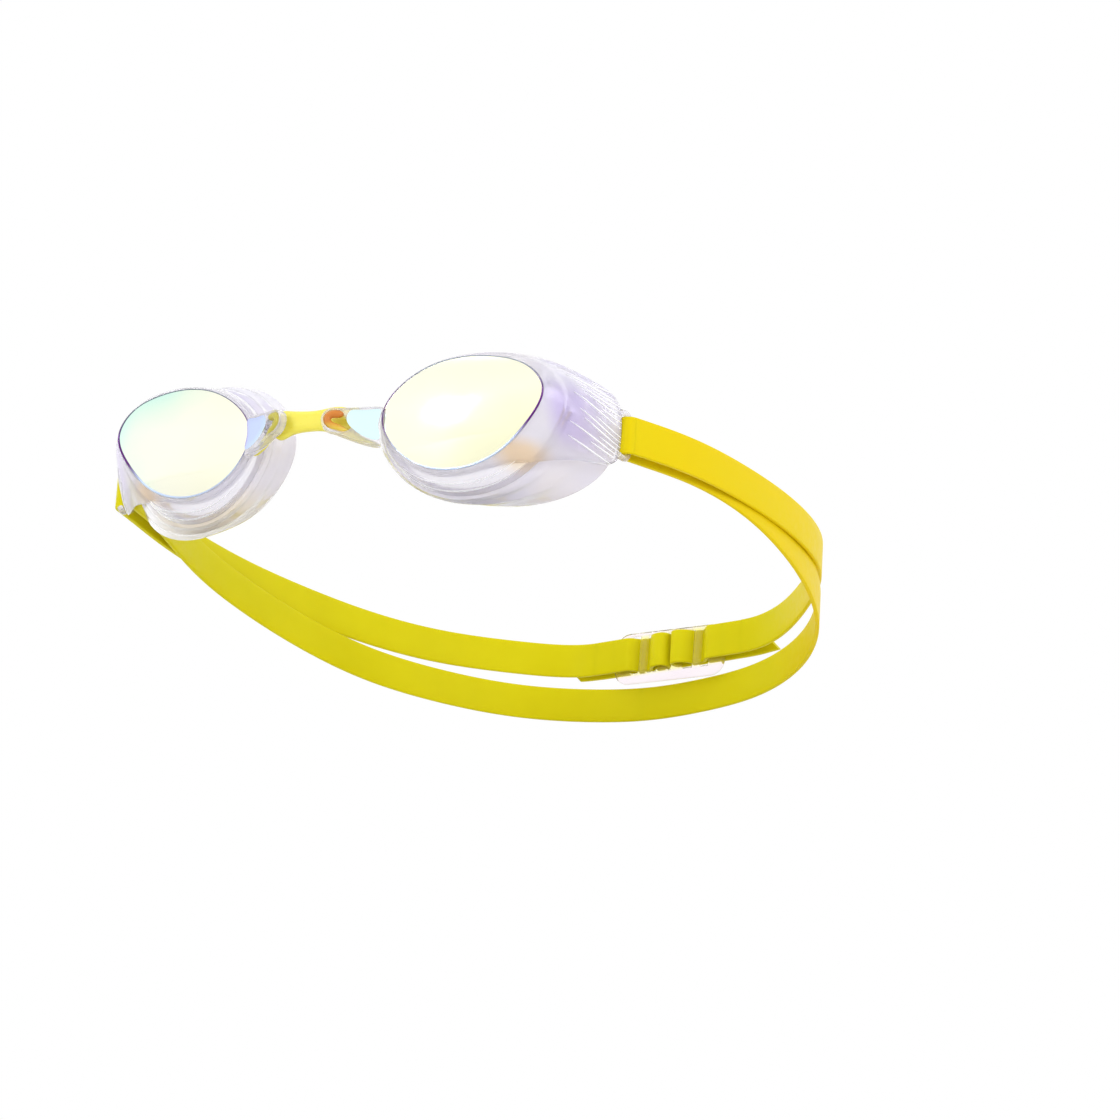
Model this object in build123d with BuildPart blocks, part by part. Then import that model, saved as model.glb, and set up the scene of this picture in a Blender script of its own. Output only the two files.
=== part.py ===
from build123d import *
import os
from math import cos, radians, sin

# Swim goggles: two one-piece eyepieces with soft gaskets, joined by a nose
# bridge, and one split strap that is threaded through a flat buckle.
# Origin: midway between the two eyelets. Fronts face -Y, the head is at +Y,
# +Z is up and +X is the wearer's left. All sizes are in millimetres.

# ---------------------------------------------------------------- lens and cup
LENS_CENTRE = (36.5, 5.5, 0.3)
LENS_WRAP = 7.0
LENS_PITCH = 4.0
LENS_THICK = 1.8
LENS_OUTLINE = [
    (-19.4, -0.6), (-14.6, -9.6), (-3.5, -14.1), (8.5, -11.2), (16.6, -3.4),
    (19.7, 4.6), (17.0, 8.8), (9.0, 12.2), (-2.0, 12.8), (-12.6, 9.6),
]
CUP_WALL = 1.5
SEAT_CENTRE = (37.0, 13.2, -0.6)
SEAT_WRAP = 14.0
SEAT_SCALE = (1.12, 1.22)
HALF_OUTLINE = 16.0

# -------------------------------------------------------------------- gasket
FACE_CENTRE = (37.9, 24.1, -0.4)
FACE_WRAP = 18.75
FACE_OUTLINE = [
    (-28.0, -0.9), (-18.5, -12.9), (-3.8, -16.4), (11.3, -15.7), (25.9, -5.6),
    (25.8, 6.4), (21.8, 12.0), (11.9, 17.1), (-2.9, 19.7), (-18.2, 14.7),
]
GASKET_WALL = 1.7
GASKET_LIP = 2.6
LIP_DEPTH = 2.2
THROAT_SCALE = (0.97, 0.97)

# ------------------------------------------------------------- nose tab, bridge
EYELET_X = 8.8
EYELET_Y = -0.2
EYELET_HALF = (1.9, 2.2)
TAB_ANGLE = 21.0
TAB_THICK = 1.8
TAB_RIM = 3.5
TAB_LENGTH = 11.0
TAB_ROOT_HALF = 5.4
BRIDGE_GAP = 0.45
BRIDGE_THICK = 2.0
BRIDGE_WAIST = 2.5
BRIDGE_LOBE = 3.7
HOOK_RADIUS = 1.05
HOOK_HEAD = 2.7
HOOK_HEAD_THICK = 1.2

# ------------------------------------------------------------- wing, slot, bar
BAR_X = 66.9
BAR_Y = 31.0
BAR_Z = -0.85
BAR_RADIUS = 1.2
WING_THICK = 1.8
WING_PLAN = [(56.4, 10.6), (60.8, 16.4), (64.4, 22.6), (66.4, 27.8)]
WING_TOP = [(9.0, 9.0), (14.0, 9.8), (21.5, 8.0), (28.0, 5.55)]
WING_BOTTOM = [(9.0, -5.0), (14.0, -9.0), (21.0, -9.4), (28.0, -7.25)]
RAIL_HALF = 6.4
SLOT_HALF = 4.9

# --------------------------------------------------------------------- strap
STRAP_WIDTH = 9.0
STRAP_THICK = 1.1
FOLD_CLEAR = 0.25
FOLD_LEG = 9.0
BAND_START = 9.4
LEFT_LEG_ANGLE = 26.0
RIGHT_LEG_ANGLE = 6.0
UPPER_LEFT = [(75.9, 46.0), (80.6, 66.0), (82.4, 87.0), (80.0, 108.0), (73.8, 128.0),
              (65.6, 145.2), (55.4, 159.0), (45.0, 168.6)]
UPPER_RIGHT = [(-71.4, 52.0), (-72.4, 75.0), (-70.8, 98.0), (-65.8, 122.0),
               (-58.2, 143.6), (-47.0, 161.4), (-31.6, 174.8)]
LOWER_LEFT = [(73.0, 48.6), (78.8, 67.0), (80.8, 87.0), (78.4, 107.6), (72.3, 127.4),
              (62.6, 147.0), (51.0, 162.2), (36.6, 174.0), (19.6, 181.2)]
LOWER_RIGHT = [(-67.8, 52.0), (-70.8, 75.0), (-69.2, 97.6), (-64.3, 121.4),
               (-56.6, 142.6), (-45.0, 160.0), (-30.0, 174.0), (-14.0, 181.4)]
LOWER_MIDDLE = (2.0, 184.0)
MIDDLE_GAP = 0.4
UPPER_DROP = [(31.0, -0.85), (70.0, -1.0), (130.0, -1.7), (168.0, -2.0), (192.0, -2.0)]
LOWER_DROP = [(31.0, -0.85), (44.0, -1.3), (90.0, -6.6), (140.0, -12.6), (192.0, -16.0)]

# -------------------------------------------------------------------- buckle
BUCKLE_CENTRE = (11.8, 179.3)
BUCKLE_ANGLE = -10.7
BUCKLE_Z = -2.0
BUCKLE_HALF = 17.5
BUCKLE_HEIGHT = 13.8
BUCKLE_THICK = 1.3
BUCKLE_CORNER = 4.2
SLOT_HEIGHT = 10.0
CENTRE_SLOT = 1.4
CENTRE_BAR = 3.2
SIDE_SLOT = 3.0
THIN_BAR = 2.1
WEAVE_OFFSET = 1.3
TAIL_OFFSET = 2.6
RUN_END = 23.4
RUN_GAP = 0.3
WEAVE_END = 2.3
LINK_START = 2.6
LINK_END = 7.6
TAIL_START = 7.9
LEFT_TAIL = (25.0, 34.5)
RIGHT_TAIL = (38.5, 30.0)

os.makedirs("parts", exist_ok=True)


def turned(centre, wrap, pitch=0.0):
    """Plane that faces forward and outward: local x runs out to the temple, local y up."""
    forward = -cos(radians(wrap)) * cos(radians(pitch))
    outward = sin(radians(wrap)) * cos(radians(pitch))
    return Plane(
        origin=centre,
        x_dir=(cos(radians(wrap)), sin(radians(wrap)), 0),
        z_dir=(outward, forward, -sin(radians(pitch))),
    )


def oval(plane, outline, scale=(1, 1), inset=0.0):
    """Egg-shaped outline on a plane, scaled in its two directions and drawn in by inset."""
    shrink = 1 - inset / HALF_OUTLINE
    points = [(x * scale[0] * shrink, y * scale[1] * shrink) for x, y in outline]
    with BuildSketch(plane) as sketch:
        with BuildLine():
            Spline(*points, periodic=True)
        make_face()
    return sketch.sketch


def side_band(drop):
    """Side view of a strap band: two edges half a strap width above and below its middle."""
    half = STRAP_WIDTH / 2
    upper = [(y, z + half) for y, z in drop]
    lower = [(y, z - half) for y, z in reversed(drop)]
    with BuildSketch(Plane.YZ) as sketch:
        with BuildLine():
            top = Spline(*upper)
            Line(top @ 1, lower[0])
            bottom = Spline(*lower)
            Line(bottom @ 1, top @ 0)
        make_face()
        with Locations((BAR_Y, BAR_Z)):
            Circle(BAND_START, mode=Mode.SUBTRACT)
    return sketch.sketch


lens_plane = turned(LENS_CENTRE, LENS_WRAP, LENS_PITCH)
seat_plane = turned(SEAT_CENTRE, SEAT_WRAP)
face_plane = turned(FACE_CENTRE, FACE_WRAP)
tab_plane = turned((EYELET_X, EYELET_Y, 0), TAB_ANGLE)
buckle_plan = Plane(
    origin=(BUCKLE_CENTRE[0], BUCKLE_CENTRE[1], BUCKLE_Z),
    x_dir=(cos(radians(BUCKLE_ANGLE)), sin(radians(BUCKLE_ANGLE)), 0),
    z_dir=(0, 0, 1),
)
buckle_face = Plane(origin=buckle_plan.origin, x_dir=buckle_plan.x_dir, z_dir=-buckle_plan.y_dir)


# ----------------------------------------------------------------- eyepieces
# The wing is a thin curved plate that narrows towards an upright slot bar.
with BuildPart() as wing:
    with BuildSketch(Plane.XY.offset(-RAIL_HALF * 3)):
        with BuildLine():
            Spline(*WING_PLAN)
        trace(line_width=WING_THICK)
    extrude(amount=RAIL_HALF * 6)
    with BuildSketch(Plane.YZ):
        with BuildLine():
            top = Spline(*WING_TOP)
            bottom = Spline(*WING_BOTTOM)
            Line(top @ 0, bottom @ 0)
            Line(top @ 1, bottom @ 1)
        make_face()
    extrude(amount=90.0, mode=Mode.INTERSECT)
    for rail_low in (BAR_Z - RAIL_HALF, BAR_Z + SLOT_HALF):
        with BuildSketch(Plane.XY.offset(rail_low)):
            with Locations((BAR_X, BAR_Y)):
                Circle(BAR_RADIUS)
            with Locations((WING_PLAN[-1][0], WING_PLAN[-1][1] - 1.0)):
                Circle(WING_THICK / 2)
            make_hull()
        extrude(amount=RAIL_HALF - SLOT_HALF)
    with BuildSketch(Plane.XY.offset(BAR_Z - RAIL_HALF)):
        with Locations((BAR_X, BAR_Y)):
            Circle(BAR_RADIUS)
    extrude(amount=2 * RAIL_HALF)

# Lens, cup, nose tab and temple wing are one clear moulding.
with BuildPart() as eyepiece_left:
    loft([oval(lens_plane, LENS_OUTLINE), oval(seat_plane, LENS_OUTLINE, SEAT_SCALE)])
    with BuildSketch(tab_plane):
        Ellipse(TAB_RIM, TAB_RIM)
        with Locations((TAB_LENGTH, 0)):
            Ellipse(2.0, TAB_ROOT_HALF)
        make_hull()
    extrude(amount=TAB_THICK / 2, both=True)
    add(wing.part)
    inner_plane = lens_plane.offset(-LENS_THICK)
    loft(
        [
            oval(inner_plane, LENS_OUTLINE, (1, 1), CUP_WALL),
            oval(seat_plane.offset(-0.01), LENS_OUTLINE, SEAT_SCALE, CUP_WALL),
        ],
        mode=Mode.SUBTRACT,
    )
    with BuildSketch(tab_plane.offset(-TAB_THICK)):
        Ellipse(*EYELET_HALF)
    extrude(amount=2 * TAB_THICK, mode=Mode.SUBTRACT)
eyepiece_left.part.label = "eyepiece_left"
export_step(eyepiece_left.part, "parts/eyepiece_left.step")

with BuildPart() as eyepiece_right:
    mirror(eyepiece_left.part, about=Plane.YZ)
eyepiece_right.part.label = "eyepiece_right"
export_step(eyepiece_right.part, "parts/eyepiece_right.step")


# ------------------------------------------------------------------- gaskets
# A soft trumpet-shaped seal, glued to the seat at the back of each cup.
with BuildPart() as gasket_left:
    loft([oval(seat_plane, LENS_OUTLINE, SEAT_SCALE), oval(face_plane, FACE_OUTLINE)])
    loft(
        [
            oval(seat_plane.offset(0.01), LENS_OUTLINE, SEAT_SCALE, GASKET_WALL),
            oval(face_plane.offset(LIP_DEPTH), FACE_OUTLINE, THROAT_SCALE, GASKET_WALL),
            oval(face_plane.offset(-0.01), FACE_OUTLINE, (1, 1), GASKET_LIP),
        ],
        ruled=True,
        mode=Mode.SUBTRACT,
    )
gasket_left.part.label = "gasket_left"
export_step(gasket_left.part, "parts/gasket_left.step")

with BuildPart() as gasket_right:
    mirror(gasket_left.part, about=Plane.YZ)
gasket_right.part.label = "gasket_right"
export_step(gasket_right.part, "parts/gasket_right.step")


# --------------------------------------------------------------- nose bridge
# A waisted band behind the tabs, with a headed hook through each eyelet.
with BuildPart() as nose_bridge:
    rear_plane = tab_plane.offset(-TAB_THICK / 2 - BRIDGE_GAP - BRIDGE_THICK)
    with BuildSketch(rear_plane):
        Circle(BRIDGE_LOBE)
    extrude(amount=BRIDGE_THICK)
    with BuildSketch(rear_plane):
        Circle(HOOK_RADIUS)
    extrude(amount=BRIDGE_THICK + 2 * BRIDGE_GAP + TAB_THICK)
    with BuildSketch(tab_plane.offset(TAB_THICK / 2 + BRIDGE_GAP)):
        Circle(HOOK_HEAD)
    extrude(amount=HOOK_HEAD_THICK)
    mirror(about=Plane.YZ)
    with BuildSketch(Plane.XZ.offset(-rear_plane.origin.Y)):
        with BuildLine():
            waist = ThreePointArc((-rear_plane.origin.X, BRIDGE_LOBE), (0, BRIDGE_WAIST),
                                  (rear_plane.origin.X, BRIDGE_LOBE))
            Line(waist @ 1, (rear_plane.origin.X, -BRIDGE_LOBE))
            belly = ThreePointArc((rear_plane.origin.X, -BRIDGE_LOBE), (0, -BRIDGE_WAIST),
                                  (-rear_plane.origin.X, -BRIDGE_LOBE))
            Line(belly @ 1, waist @ 0)
        make_face()
    extrude(amount=BRIDGE_THICK * 0.9)
nose_bridge.part.label = "nose_bridge"
export_step(nose_bridge.part, "parts/nose_bridge.step")


# --------------------------------------------------------------------- strap
# One silicone strip. It folds round each slot bar and splits into an upper
# and a lower band, modelled as stretches that meet end to end.
fold_radius = BAR_RADIUS + FOLD_CLEAR + STRAP_THICK / 2
plan_low = Plane.XY.offset(-40.0)
plan_tall = 80.0


def leg_frame(side, angle):
    """Bar centre, direction of the fold's legs and the direction out from the head."""
    direction = Vector(side * sin(radians(angle)), cos(radians(angle)), 0)
    outward = Vector(side * cos(radians(angle)), -sin(radians(angle)), 0)
    return Vector(side * BAR_X, BAR_Y, 0), direction, outward


def make_fold(side, angle):
    """Hairpin of strap round a slot bar, with a leg outside it and a leg inside it."""
    bar, direction, outward = leg_frame(side, angle)
    reach = direction * (FOLD_LEG + 2.0)
    with BuildPart() as fold:
        with BuildSketch(plan_low):
            with BuildLine():
                outer = Line(bar + outward * fold_radius + reach, bar + outward * fold_radius)
                bend = ThreePointArc(outer @ 1, bar - direction * fold_radius,
                                     bar - outward * fold_radius)
                Line(bend @ 1, bar - outward * fold_radius + reach)
            trace(line_width=STRAP_THICK)
        extrude(amount=plan_tall)
        with BuildSketch(Plane.YZ):
            with Locations((BAR_Y, BAR_Z)):
                Circle(FOLD_LEG)
                Rectangle(FOLD_LEG * 3, STRAP_WIDTH, mode=Mode.INTERSECT)
        extrude(amount=100.0, both=True, mode=Mode.INTERSECT)
    return fold.part


def make_band(side, angle, place, points, last, end_direction, drop):
    """Strap band from a fold leg to its last point, standing upright along its plan line."""
    bar, direction, outward = leg_frame(side, angle)
    start = bar + outward * (place * fold_radius) + direction * (BAND_START - 3.0)
    with BuildPart() as band:
        with BuildSketch(plan_low):
            with BuildLine():
                Spline(start, *points, last, tangents=(direction, end_direction))
            trace(line_width=STRAP_THICK)
        extrude(amount=plan_tall)
        extrude(side_band(drop), amount=100.0, both=True, mode=Mode.INTERSECT)
    return band.part


with BuildPart() as strap_fold_left:
    add(make_fold(1, LEFT_LEG_ANGLE))
strap_fold_left.part.label = "strap_fold_left"
export_step(strap_fold_left.part, "parts/strap_fold_left.step")

with BuildPart() as strap_fold_right:
    add(make_fold(-1, RIGHT_LEG_ANGLE))
strap_fold_right.part.label = "strap_fold_right"
export_step(strap_fold_right.part, "parts/strap_fold_right.step")

run_direction = buckle_plan.x_dir
run_left_end = buckle_plan.from_local_coords(Vector(RUN_END + RUN_GAP, -WEAVE_OFFSET, 0))
run_right_end = buckle_plan.from_local_coords(Vector(-RUN_END - RUN_GAP, -WEAVE_OFFSET, 0))

with BuildPart() as upper_band_left:
    add(make_band(1, LEFT_LEG_ANGLE, 1, UPPER_LEFT, (run_left_end.X, run_left_end.Y),
                  -run_direction, UPPER_DROP))
upper_band_left.part.label = "upper_band_left"
export_step(upper_band_left.part, "parts/upper_band_left.step")

with BuildPart() as upper_band_right:
    add(make_band(-1, RIGHT_LEG_ANGLE, 1, UPPER_RIGHT, (run_right_end.X, run_right_end.Y),
                  run_direction, UPPER_DROP))
upper_band_right.part.label = "upper_band_right"
export_step(upper_band_right.part, "parts/upper_band_right.step")

lower_left_end = (LOWER_MIDDLE[0] + MIDDLE_GAP, LOWER_MIDDLE[1])
with BuildPart() as lower_band_left:
    add(make_band(1, LEFT_LEG_ANGLE, -1, LOWER_LEFT, lower_left_end, Vector(-1, 0, 0), LOWER_DROP))
lower_band_left.part.label = "lower_band_left"
export_step(lower_band_left.part, "parts/lower_band_left.step")

lower_right_end = (LOWER_MIDDLE[0] - MIDDLE_GAP, LOWER_MIDDLE[1])
with BuildPart() as lower_band_right:
    add(make_band(-1, RIGHT_LEG_ANGLE, -1, LOWER_RIGHT, lower_right_end, Vector(1, 0, 0), LOWER_DROP))
lower_band_right.part.label = "lower_band_right"
export_step(lower_band_right.part, "parts/lower_band_right.step")


# -------------------------------------------------------------------- buckle
# A flat clear plate with five slots. From each end the strap goes over the
# end bar, behind the thin bar, over the centre bar and back through the middle.
thin_start = CENTRE_SLOT + CENTRE_BAR + SIDE_SLOT
end_slot = thin_start + THIN_BAR

with BuildPart() as buckle:
    with BuildSketch(buckle_face.offset(-BUCKLE_THICK / 2)):
        RectangleRounded(2 * BUCKLE_HALF, BUCKLE_HEIGHT, BUCKLE_CORNER)
        RectangleRounded(2 * CENTRE_SLOT, SLOT_HEIGHT, 0.8, mode=Mode.SUBTRACT)
        for side in (-1, 1):
            with Locations((side * (CENTRE_SLOT + CENTRE_BAR + SIDE_SLOT / 2), 0),
                           (side * (end_slot + SIDE_SLOT / 2), 0)):
                RectangleRounded(SIDE_SLOT, SLOT_HEIGHT, 0.8, mode=Mode.SUBTRACT)
    extrude(amount=BUCKLE_THICK)
buckle.part.label = "buckle"
export_step(buckle.part, "parts/buckle.step")


def make_weave(side):
    """The stretch of strap inside one half of the buckle, seen in plan as a zigzag."""
    over = -WEAVE_OFFSET
    under = WEAVE_OFFSET
    slant = SIDE_SLOT / 2 + 0.75
    ramp = (SIDE_SLOT - 1.5) / 2
    route = [
        (BUCKLE_HALF - 0.3, over),
        (end_slot + slant, over),
        (end_slot + ramp, under),
        (thin_start - ramp, under),
        (thin_start - slant, over),
        (CENTRE_SLOT / 2, over),
        (CENTRE_SLOT / 2, TAIL_OFFSET),
        (WEAVE_END, TAIL_OFFSET),
    ]
    with BuildPart() as weave:
        with BuildSketch(buckle_plan.offset(-STRAP_WIDTH / 2)):
            with BuildLine():
                Polyline(*[(side * u, v) for u, v in route])
            trace(line_width=STRAP_THICK)
        extrude(amount=STRAP_WIDTH)
    return weave.part


def make_tail(side, top_end, bottom_end):
    """Free end of the strap behind the buckle, cut on the slant."""
    half = STRAP_WIDTH / 2
    with BuildPart() as tail:
        with BuildSketch(buckle_face.offset(-TAIL_OFFSET - STRAP_THICK / 2)):
            Polygon(
                (side * TAIL_START, half),
                (side * top_end, half),
                (side * bottom_end, -half),
                (side * TAIL_START, -half),
                align=None,
            )
        extrude(amount=STRAP_THICK)
    return tail.part


def make_stretch(side, start, end, level):
    """Short straight stretch of strap that lengthens or shortens as the buckle slides."""
    with BuildPart() as stretch:
        with BuildSketch(buckle_plan.offset(-STRAP_WIDTH / 2)):
            with BuildLine():
                Line((side * start, level), (side * end, level))
            trace(line_width=STRAP_THICK)
        extrude(amount=STRAP_WIDTH)
    return stretch.part


with BuildPart() as strap_weave_left:
    add(make_weave(1))
strap_weave_left.part.label = "strap_weave_left"
export_step(strap_weave_left.part, "parts/strap_weave_left.step")

with BuildPart() as strap_weave_right:
    add(make_weave(-1))
strap_weave_right.part.label = "strap_weave_right"
export_step(strap_weave_right.part, "parts/strap_weave_right.step")

with BuildPart() as strap_tail_left:
    add(make_tail(1, *LEFT_TAIL))
strap_tail_left.part.label = "strap_tail_left"
export_step(strap_tail_left.part, "parts/strap_tail_left.step")

with BuildPart() as strap_tail_right:
    add(make_tail(-1, *RIGHT_TAIL))
strap_tail_right.part.label = "strap_tail_right"
export_step(strap_tail_right.part, "parts/strap_tail_right.step")

with BuildPart() as strap_run_left:
    add(make_stretch(1, BUCKLE_HALF, RUN_END, -WEAVE_OFFSET))
strap_run_left.part.label = "strap_run_left"
export_step(strap_run_left.part, "parts/strap_run_left.step")

with BuildPart() as strap_run_right:
    add(make_stretch(-1, BUCKLE_HALF, RUN_END, -WEAVE_OFFSET))
strap_run_right.part.label = "strap_run_right"
export_step(strap_run_right.part, "parts/strap_run_right.step")

with BuildPart() as strap_link_left:
    add(make_stretch(1, LINK_START, LINK_END, TAIL_OFFSET))
strap_link_left.part.label = "strap_link_left"
export_step(strap_link_left.part, "parts/strap_link_left.step")

with BuildPart() as strap_link_right:
    add(make_stretch(-1, LINK_START, LINK_END, TAIL_OFFSET))
strap_link_right.part.label = "strap_link_right"
export_step(strap_link_right.part, "parts/strap_link_right.step")
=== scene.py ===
"""Swim goggles: clear mirrored eyepieces, soft gaskets, a nose bridge and a split strap with a buckle.

Sizes are in millimetres unless a name says otherwise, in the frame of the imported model: fronts face -Y,
+Z is up and +X is the wearer's left. Meshes are turned into metres when they are built.
"""

import logging
import math
from dataclasses import dataclass, field
from enum import Enum
from typing import Callable, Sequence

import bpy
import numpy as np
from mathutils import Matrix, Vector


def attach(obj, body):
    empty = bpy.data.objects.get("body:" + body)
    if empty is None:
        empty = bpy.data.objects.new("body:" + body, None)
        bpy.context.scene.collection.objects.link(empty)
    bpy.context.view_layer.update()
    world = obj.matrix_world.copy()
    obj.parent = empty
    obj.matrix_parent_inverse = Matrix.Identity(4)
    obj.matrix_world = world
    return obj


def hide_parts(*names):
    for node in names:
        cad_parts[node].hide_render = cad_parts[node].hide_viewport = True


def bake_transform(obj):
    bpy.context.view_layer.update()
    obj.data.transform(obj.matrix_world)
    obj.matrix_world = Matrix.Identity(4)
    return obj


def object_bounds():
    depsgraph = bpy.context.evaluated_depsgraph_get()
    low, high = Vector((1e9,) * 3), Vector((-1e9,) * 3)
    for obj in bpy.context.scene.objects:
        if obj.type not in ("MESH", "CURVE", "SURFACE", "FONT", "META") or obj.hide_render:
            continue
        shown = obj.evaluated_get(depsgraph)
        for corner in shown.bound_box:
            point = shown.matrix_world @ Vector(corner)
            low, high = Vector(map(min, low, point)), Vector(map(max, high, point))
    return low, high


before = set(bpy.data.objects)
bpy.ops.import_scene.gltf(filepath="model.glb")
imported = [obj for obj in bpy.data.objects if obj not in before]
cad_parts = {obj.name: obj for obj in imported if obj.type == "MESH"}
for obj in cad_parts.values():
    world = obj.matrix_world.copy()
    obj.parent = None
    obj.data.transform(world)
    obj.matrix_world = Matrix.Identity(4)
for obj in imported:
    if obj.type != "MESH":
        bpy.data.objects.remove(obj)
CAD_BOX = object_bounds()

MM = 0.001
# Edges that turn by more than this are shaded sharp, in degrees.
SHARP_DEG = 48.0
# Middle of the left slot bar.
SLOT_BAR = (66.9, 31.0, -0.85)
# The buckle's middle, its turn seen from above in degrees, and half its width.
BUCKLE_CENTRE = (11.8, 179.3, -2.0)
BUCKLE_ANGLE = -10.7
BUCKLE_HALF = 17.5
# Nearly all of a noise lies between these values.
NOISE_LOW, NOISE_HIGH = 0.3, 0.7
LOG = logging.getLogger("goggles")

Colour = tuple[float, float, float]
Point = tuple[float, float, float]
Pairs = tuple[tuple[float, float], ...]
Triples = tuple[Point, ...]
Level = Callable[[np.ndarray], np.ndarray]
Socket = bpy.types.NodeSocket


class Choice(Enum):
    """An option whose name is part of the names of pieces."""

    @property
    def word(self) -> str:
        """The name as it is used in piece names."""
        return self.name.lower()


class Side(Choice):
    """Which of the wearer's sides a piece belongs to; the value is the sign of its X."""

    LEFT = 1
    RIGHT = -1

    @property
    def mirror(self) -> np.ndarray:
        """What to multiply a point of the left side by, to get this side's."""
        return np.array([self.value, 1.0, 1.0])


class Place(Choice):
    """Which of the two strap bands a stretch belongs to; the value is its side of the slot bar."""

    UPPER = 1
    LOWER = -1


# --------------------------------------------------------------------------- curves and meshes


def hermite(
    x: np.ndarray | float, near: np.ndarray, leave: np.ndarray, far: np.ndarray, arrive: np.ndarray
) -> np.ndarray:
    """Points on the smooth span between two points.

    Args:
        x: Share of the way, from 0 to 1.
        near: Where the span begins.
        leave: Its slope there, over the whole span.
        far: Where it ends.
        arrive: Its slope there, over the whole span.

    Returns:
        The points.
    """
    return (
        (1 + 2 * x) * (1 - x) ** 2 * near
        + x * (1 - x) ** 2 * leave
        + x * x * (3 - 2 * x) * far
        + x * x * (x - 1) * arrive
    )


class Curve:
    """Smooth curve through chosen points, measured by the distance from point to point."""

    def __init__(
        self,
        points: Sequence[Sequence[float]],
        closed: bool = False,
        start: Sequence[float] | None = None,
        end: Sequence[float] | None = None,
        stations: Sequence[float] | None = None,
    ) -> None:
        """Solve for the slopes that make the curve bend evenly at every point.

        Args:
            points: The points it passes through.
            closed: True if the last point leads back to the first.
            start: Direction in which it leaves the first point.
            end: Direction in which it reaches the last point.
            stations: Its own measure at each point, where distance isn't wanted.
        """
        knots = np.array(points, float).reshape(len(points), -1)
        if closed:
            knots = np.vstack([knots, knots[:1]])
        steps = np.linalg.norm(np.diff(knots, axis=0), axis=1)
        if stations is not None:
            steps = np.diff(np.array(stations, float))
        self.knots = knots
        self.steps = steps
        self.marks = np.concatenate([[0.0], np.cumsum(steps)])
        if stations is not None:
            self.marks = self.marks + stations[0]
        self.slopes = self._solve(closed, start, end)

    def _solve(
        self, closed: bool, start: Sequence[float] | None, end: Sequence[float] | None
    ) -> np.ndarray:
        """Slopes at the knots.

        Args:
            closed: True if the curve is a loop.
            start: Direction at the first knot, if it is set.
            end: Direction at the last knot, if it is set.

        Returns:
            One slope vector for each knot.
        """
        knots, steps = self.knots, self.steps
        count = len(knots)
        matrix = np.zeros((count, count))
        wanted = np.zeros(knots.shape)
        for i in range(1, count - 1):
            before, after = steps[i - 1], steps[i]
            matrix[i, i - 1 : i + 2] = 1 / before, 2 * (1 / before + 1 / after), 1 / after
            rise = (knots[i + 1] - knots[i]) / after**2 + (knots[i] - knots[i - 1]) / before**2
            wanted[i] = 3 * rise
        if closed:
            before, after = steps[-1], steps[0]
            matrix[0, -2], matrix[0, 1] = 1 / before, 1 / after
            matrix[0, 0] = 2 * (1 / before + 1 / after)
            wanted[0] = 3 * ((knots[1] - knots[0]) / after**2 + (knots[0] - knots[-2]) / before**2)
            matrix[-1, -1], matrix[-1, 0] = 1, -1
            return np.linalg.solve(matrix, wanted)
        for i, beside, direction in ((0, 1, start), (count - 1, count - 2, end)):
            if direction is None:
                matrix[i, i], matrix[i, beside] = 2, 1
                low = min(i, beside)
                wanted[i] = 3 * (knots[low + 1] - knots[low]) / steps[low]
            else:
                matrix[i, i] = 1
                wanted[i] = np.array(direction, float) / np.linalg.norm(direction)
        return np.linalg.solve(matrix, wanted)

    @property
    def length(self) -> float:
        """Where its measure ends."""
        return float(self.marks[-1])

    def at(self, places: np.ndarray) -> np.ndarray:
        """Points on the curve.

        Args:
            places: Measures along the curve.

        Returns:
            One point for each place.
        """
        places = np.asarray(places, float)
        i = np.clip(np.searchsorted(self.marks, places, side="right") - 1, 0, len(self.steps) - 1)
        step = self.steps[i][..., None]
        x = ((places - self.marks[i]) / self.steps[i])[..., None]
        knots, slopes = self.knots, self.slopes
        return hermite(x, knots[i], step * slopes[i], knots[i + 1], step * slopes[i + 1])

    def even(self, count: int) -> np.ndarray:
        """That many points, evenly spaced along its measure."""
        return self.at(np.linspace(self.marks[0], self.marks[-1], count))


def unit(vectors: np.ndarray) -> np.ndarray:
    """The vectors, each scaled to a length of one."""
    return vectors / np.maximum(np.linalg.norm(vectors, axis=-1, keepdims=True), 1e-12)


def put(name: str, data: bpy.types.ID) -> bpy.types.Object:
    """Make an object from its mesh, lamp or camera, and link it to the scene."""
    item = bpy.data.objects.new(name, data)
    bpy.context.scene.collection.objects.link(item)
    return item


def shade(mesh: bpy.types.Mesh) -> None:
    """Shade a mesh smooth, apart from its sharp edges."""
    mesh.shade_smooth()
    mesh.set_sharp_from_angle(angle=math.radians(SHARP_DEG))


def round_box(
    left: float, right: float, low: float, high: float, corner: float, steps: int
) -> list[np.ndarray]:
    """Rectangle with round corners.

    Args:
        left: Its left side.
        right: Its right side.
        low: Its bottom.
        high: Its top.
        corner: Radius of its corners.
        steps: How many points are in each corner.

    Returns:
        The points of each corner, across and up, from the upper right one anticlockwise.
    """
    ins = ((right - corner, high - corner), (left + corner, high - corner))
    ins += ((left + corner, low + corner), (right - corner, low + corner))
    corners = []
    for turn, (x, z) in enumerate(ins):
        angles = np.linspace(0, math.pi / 2, steps) + turn * math.pi / 2
        corners.append(np.column_stack([x + corner * np.cos(angles), z + corner * np.sin(angles)]))
    return corners


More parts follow.
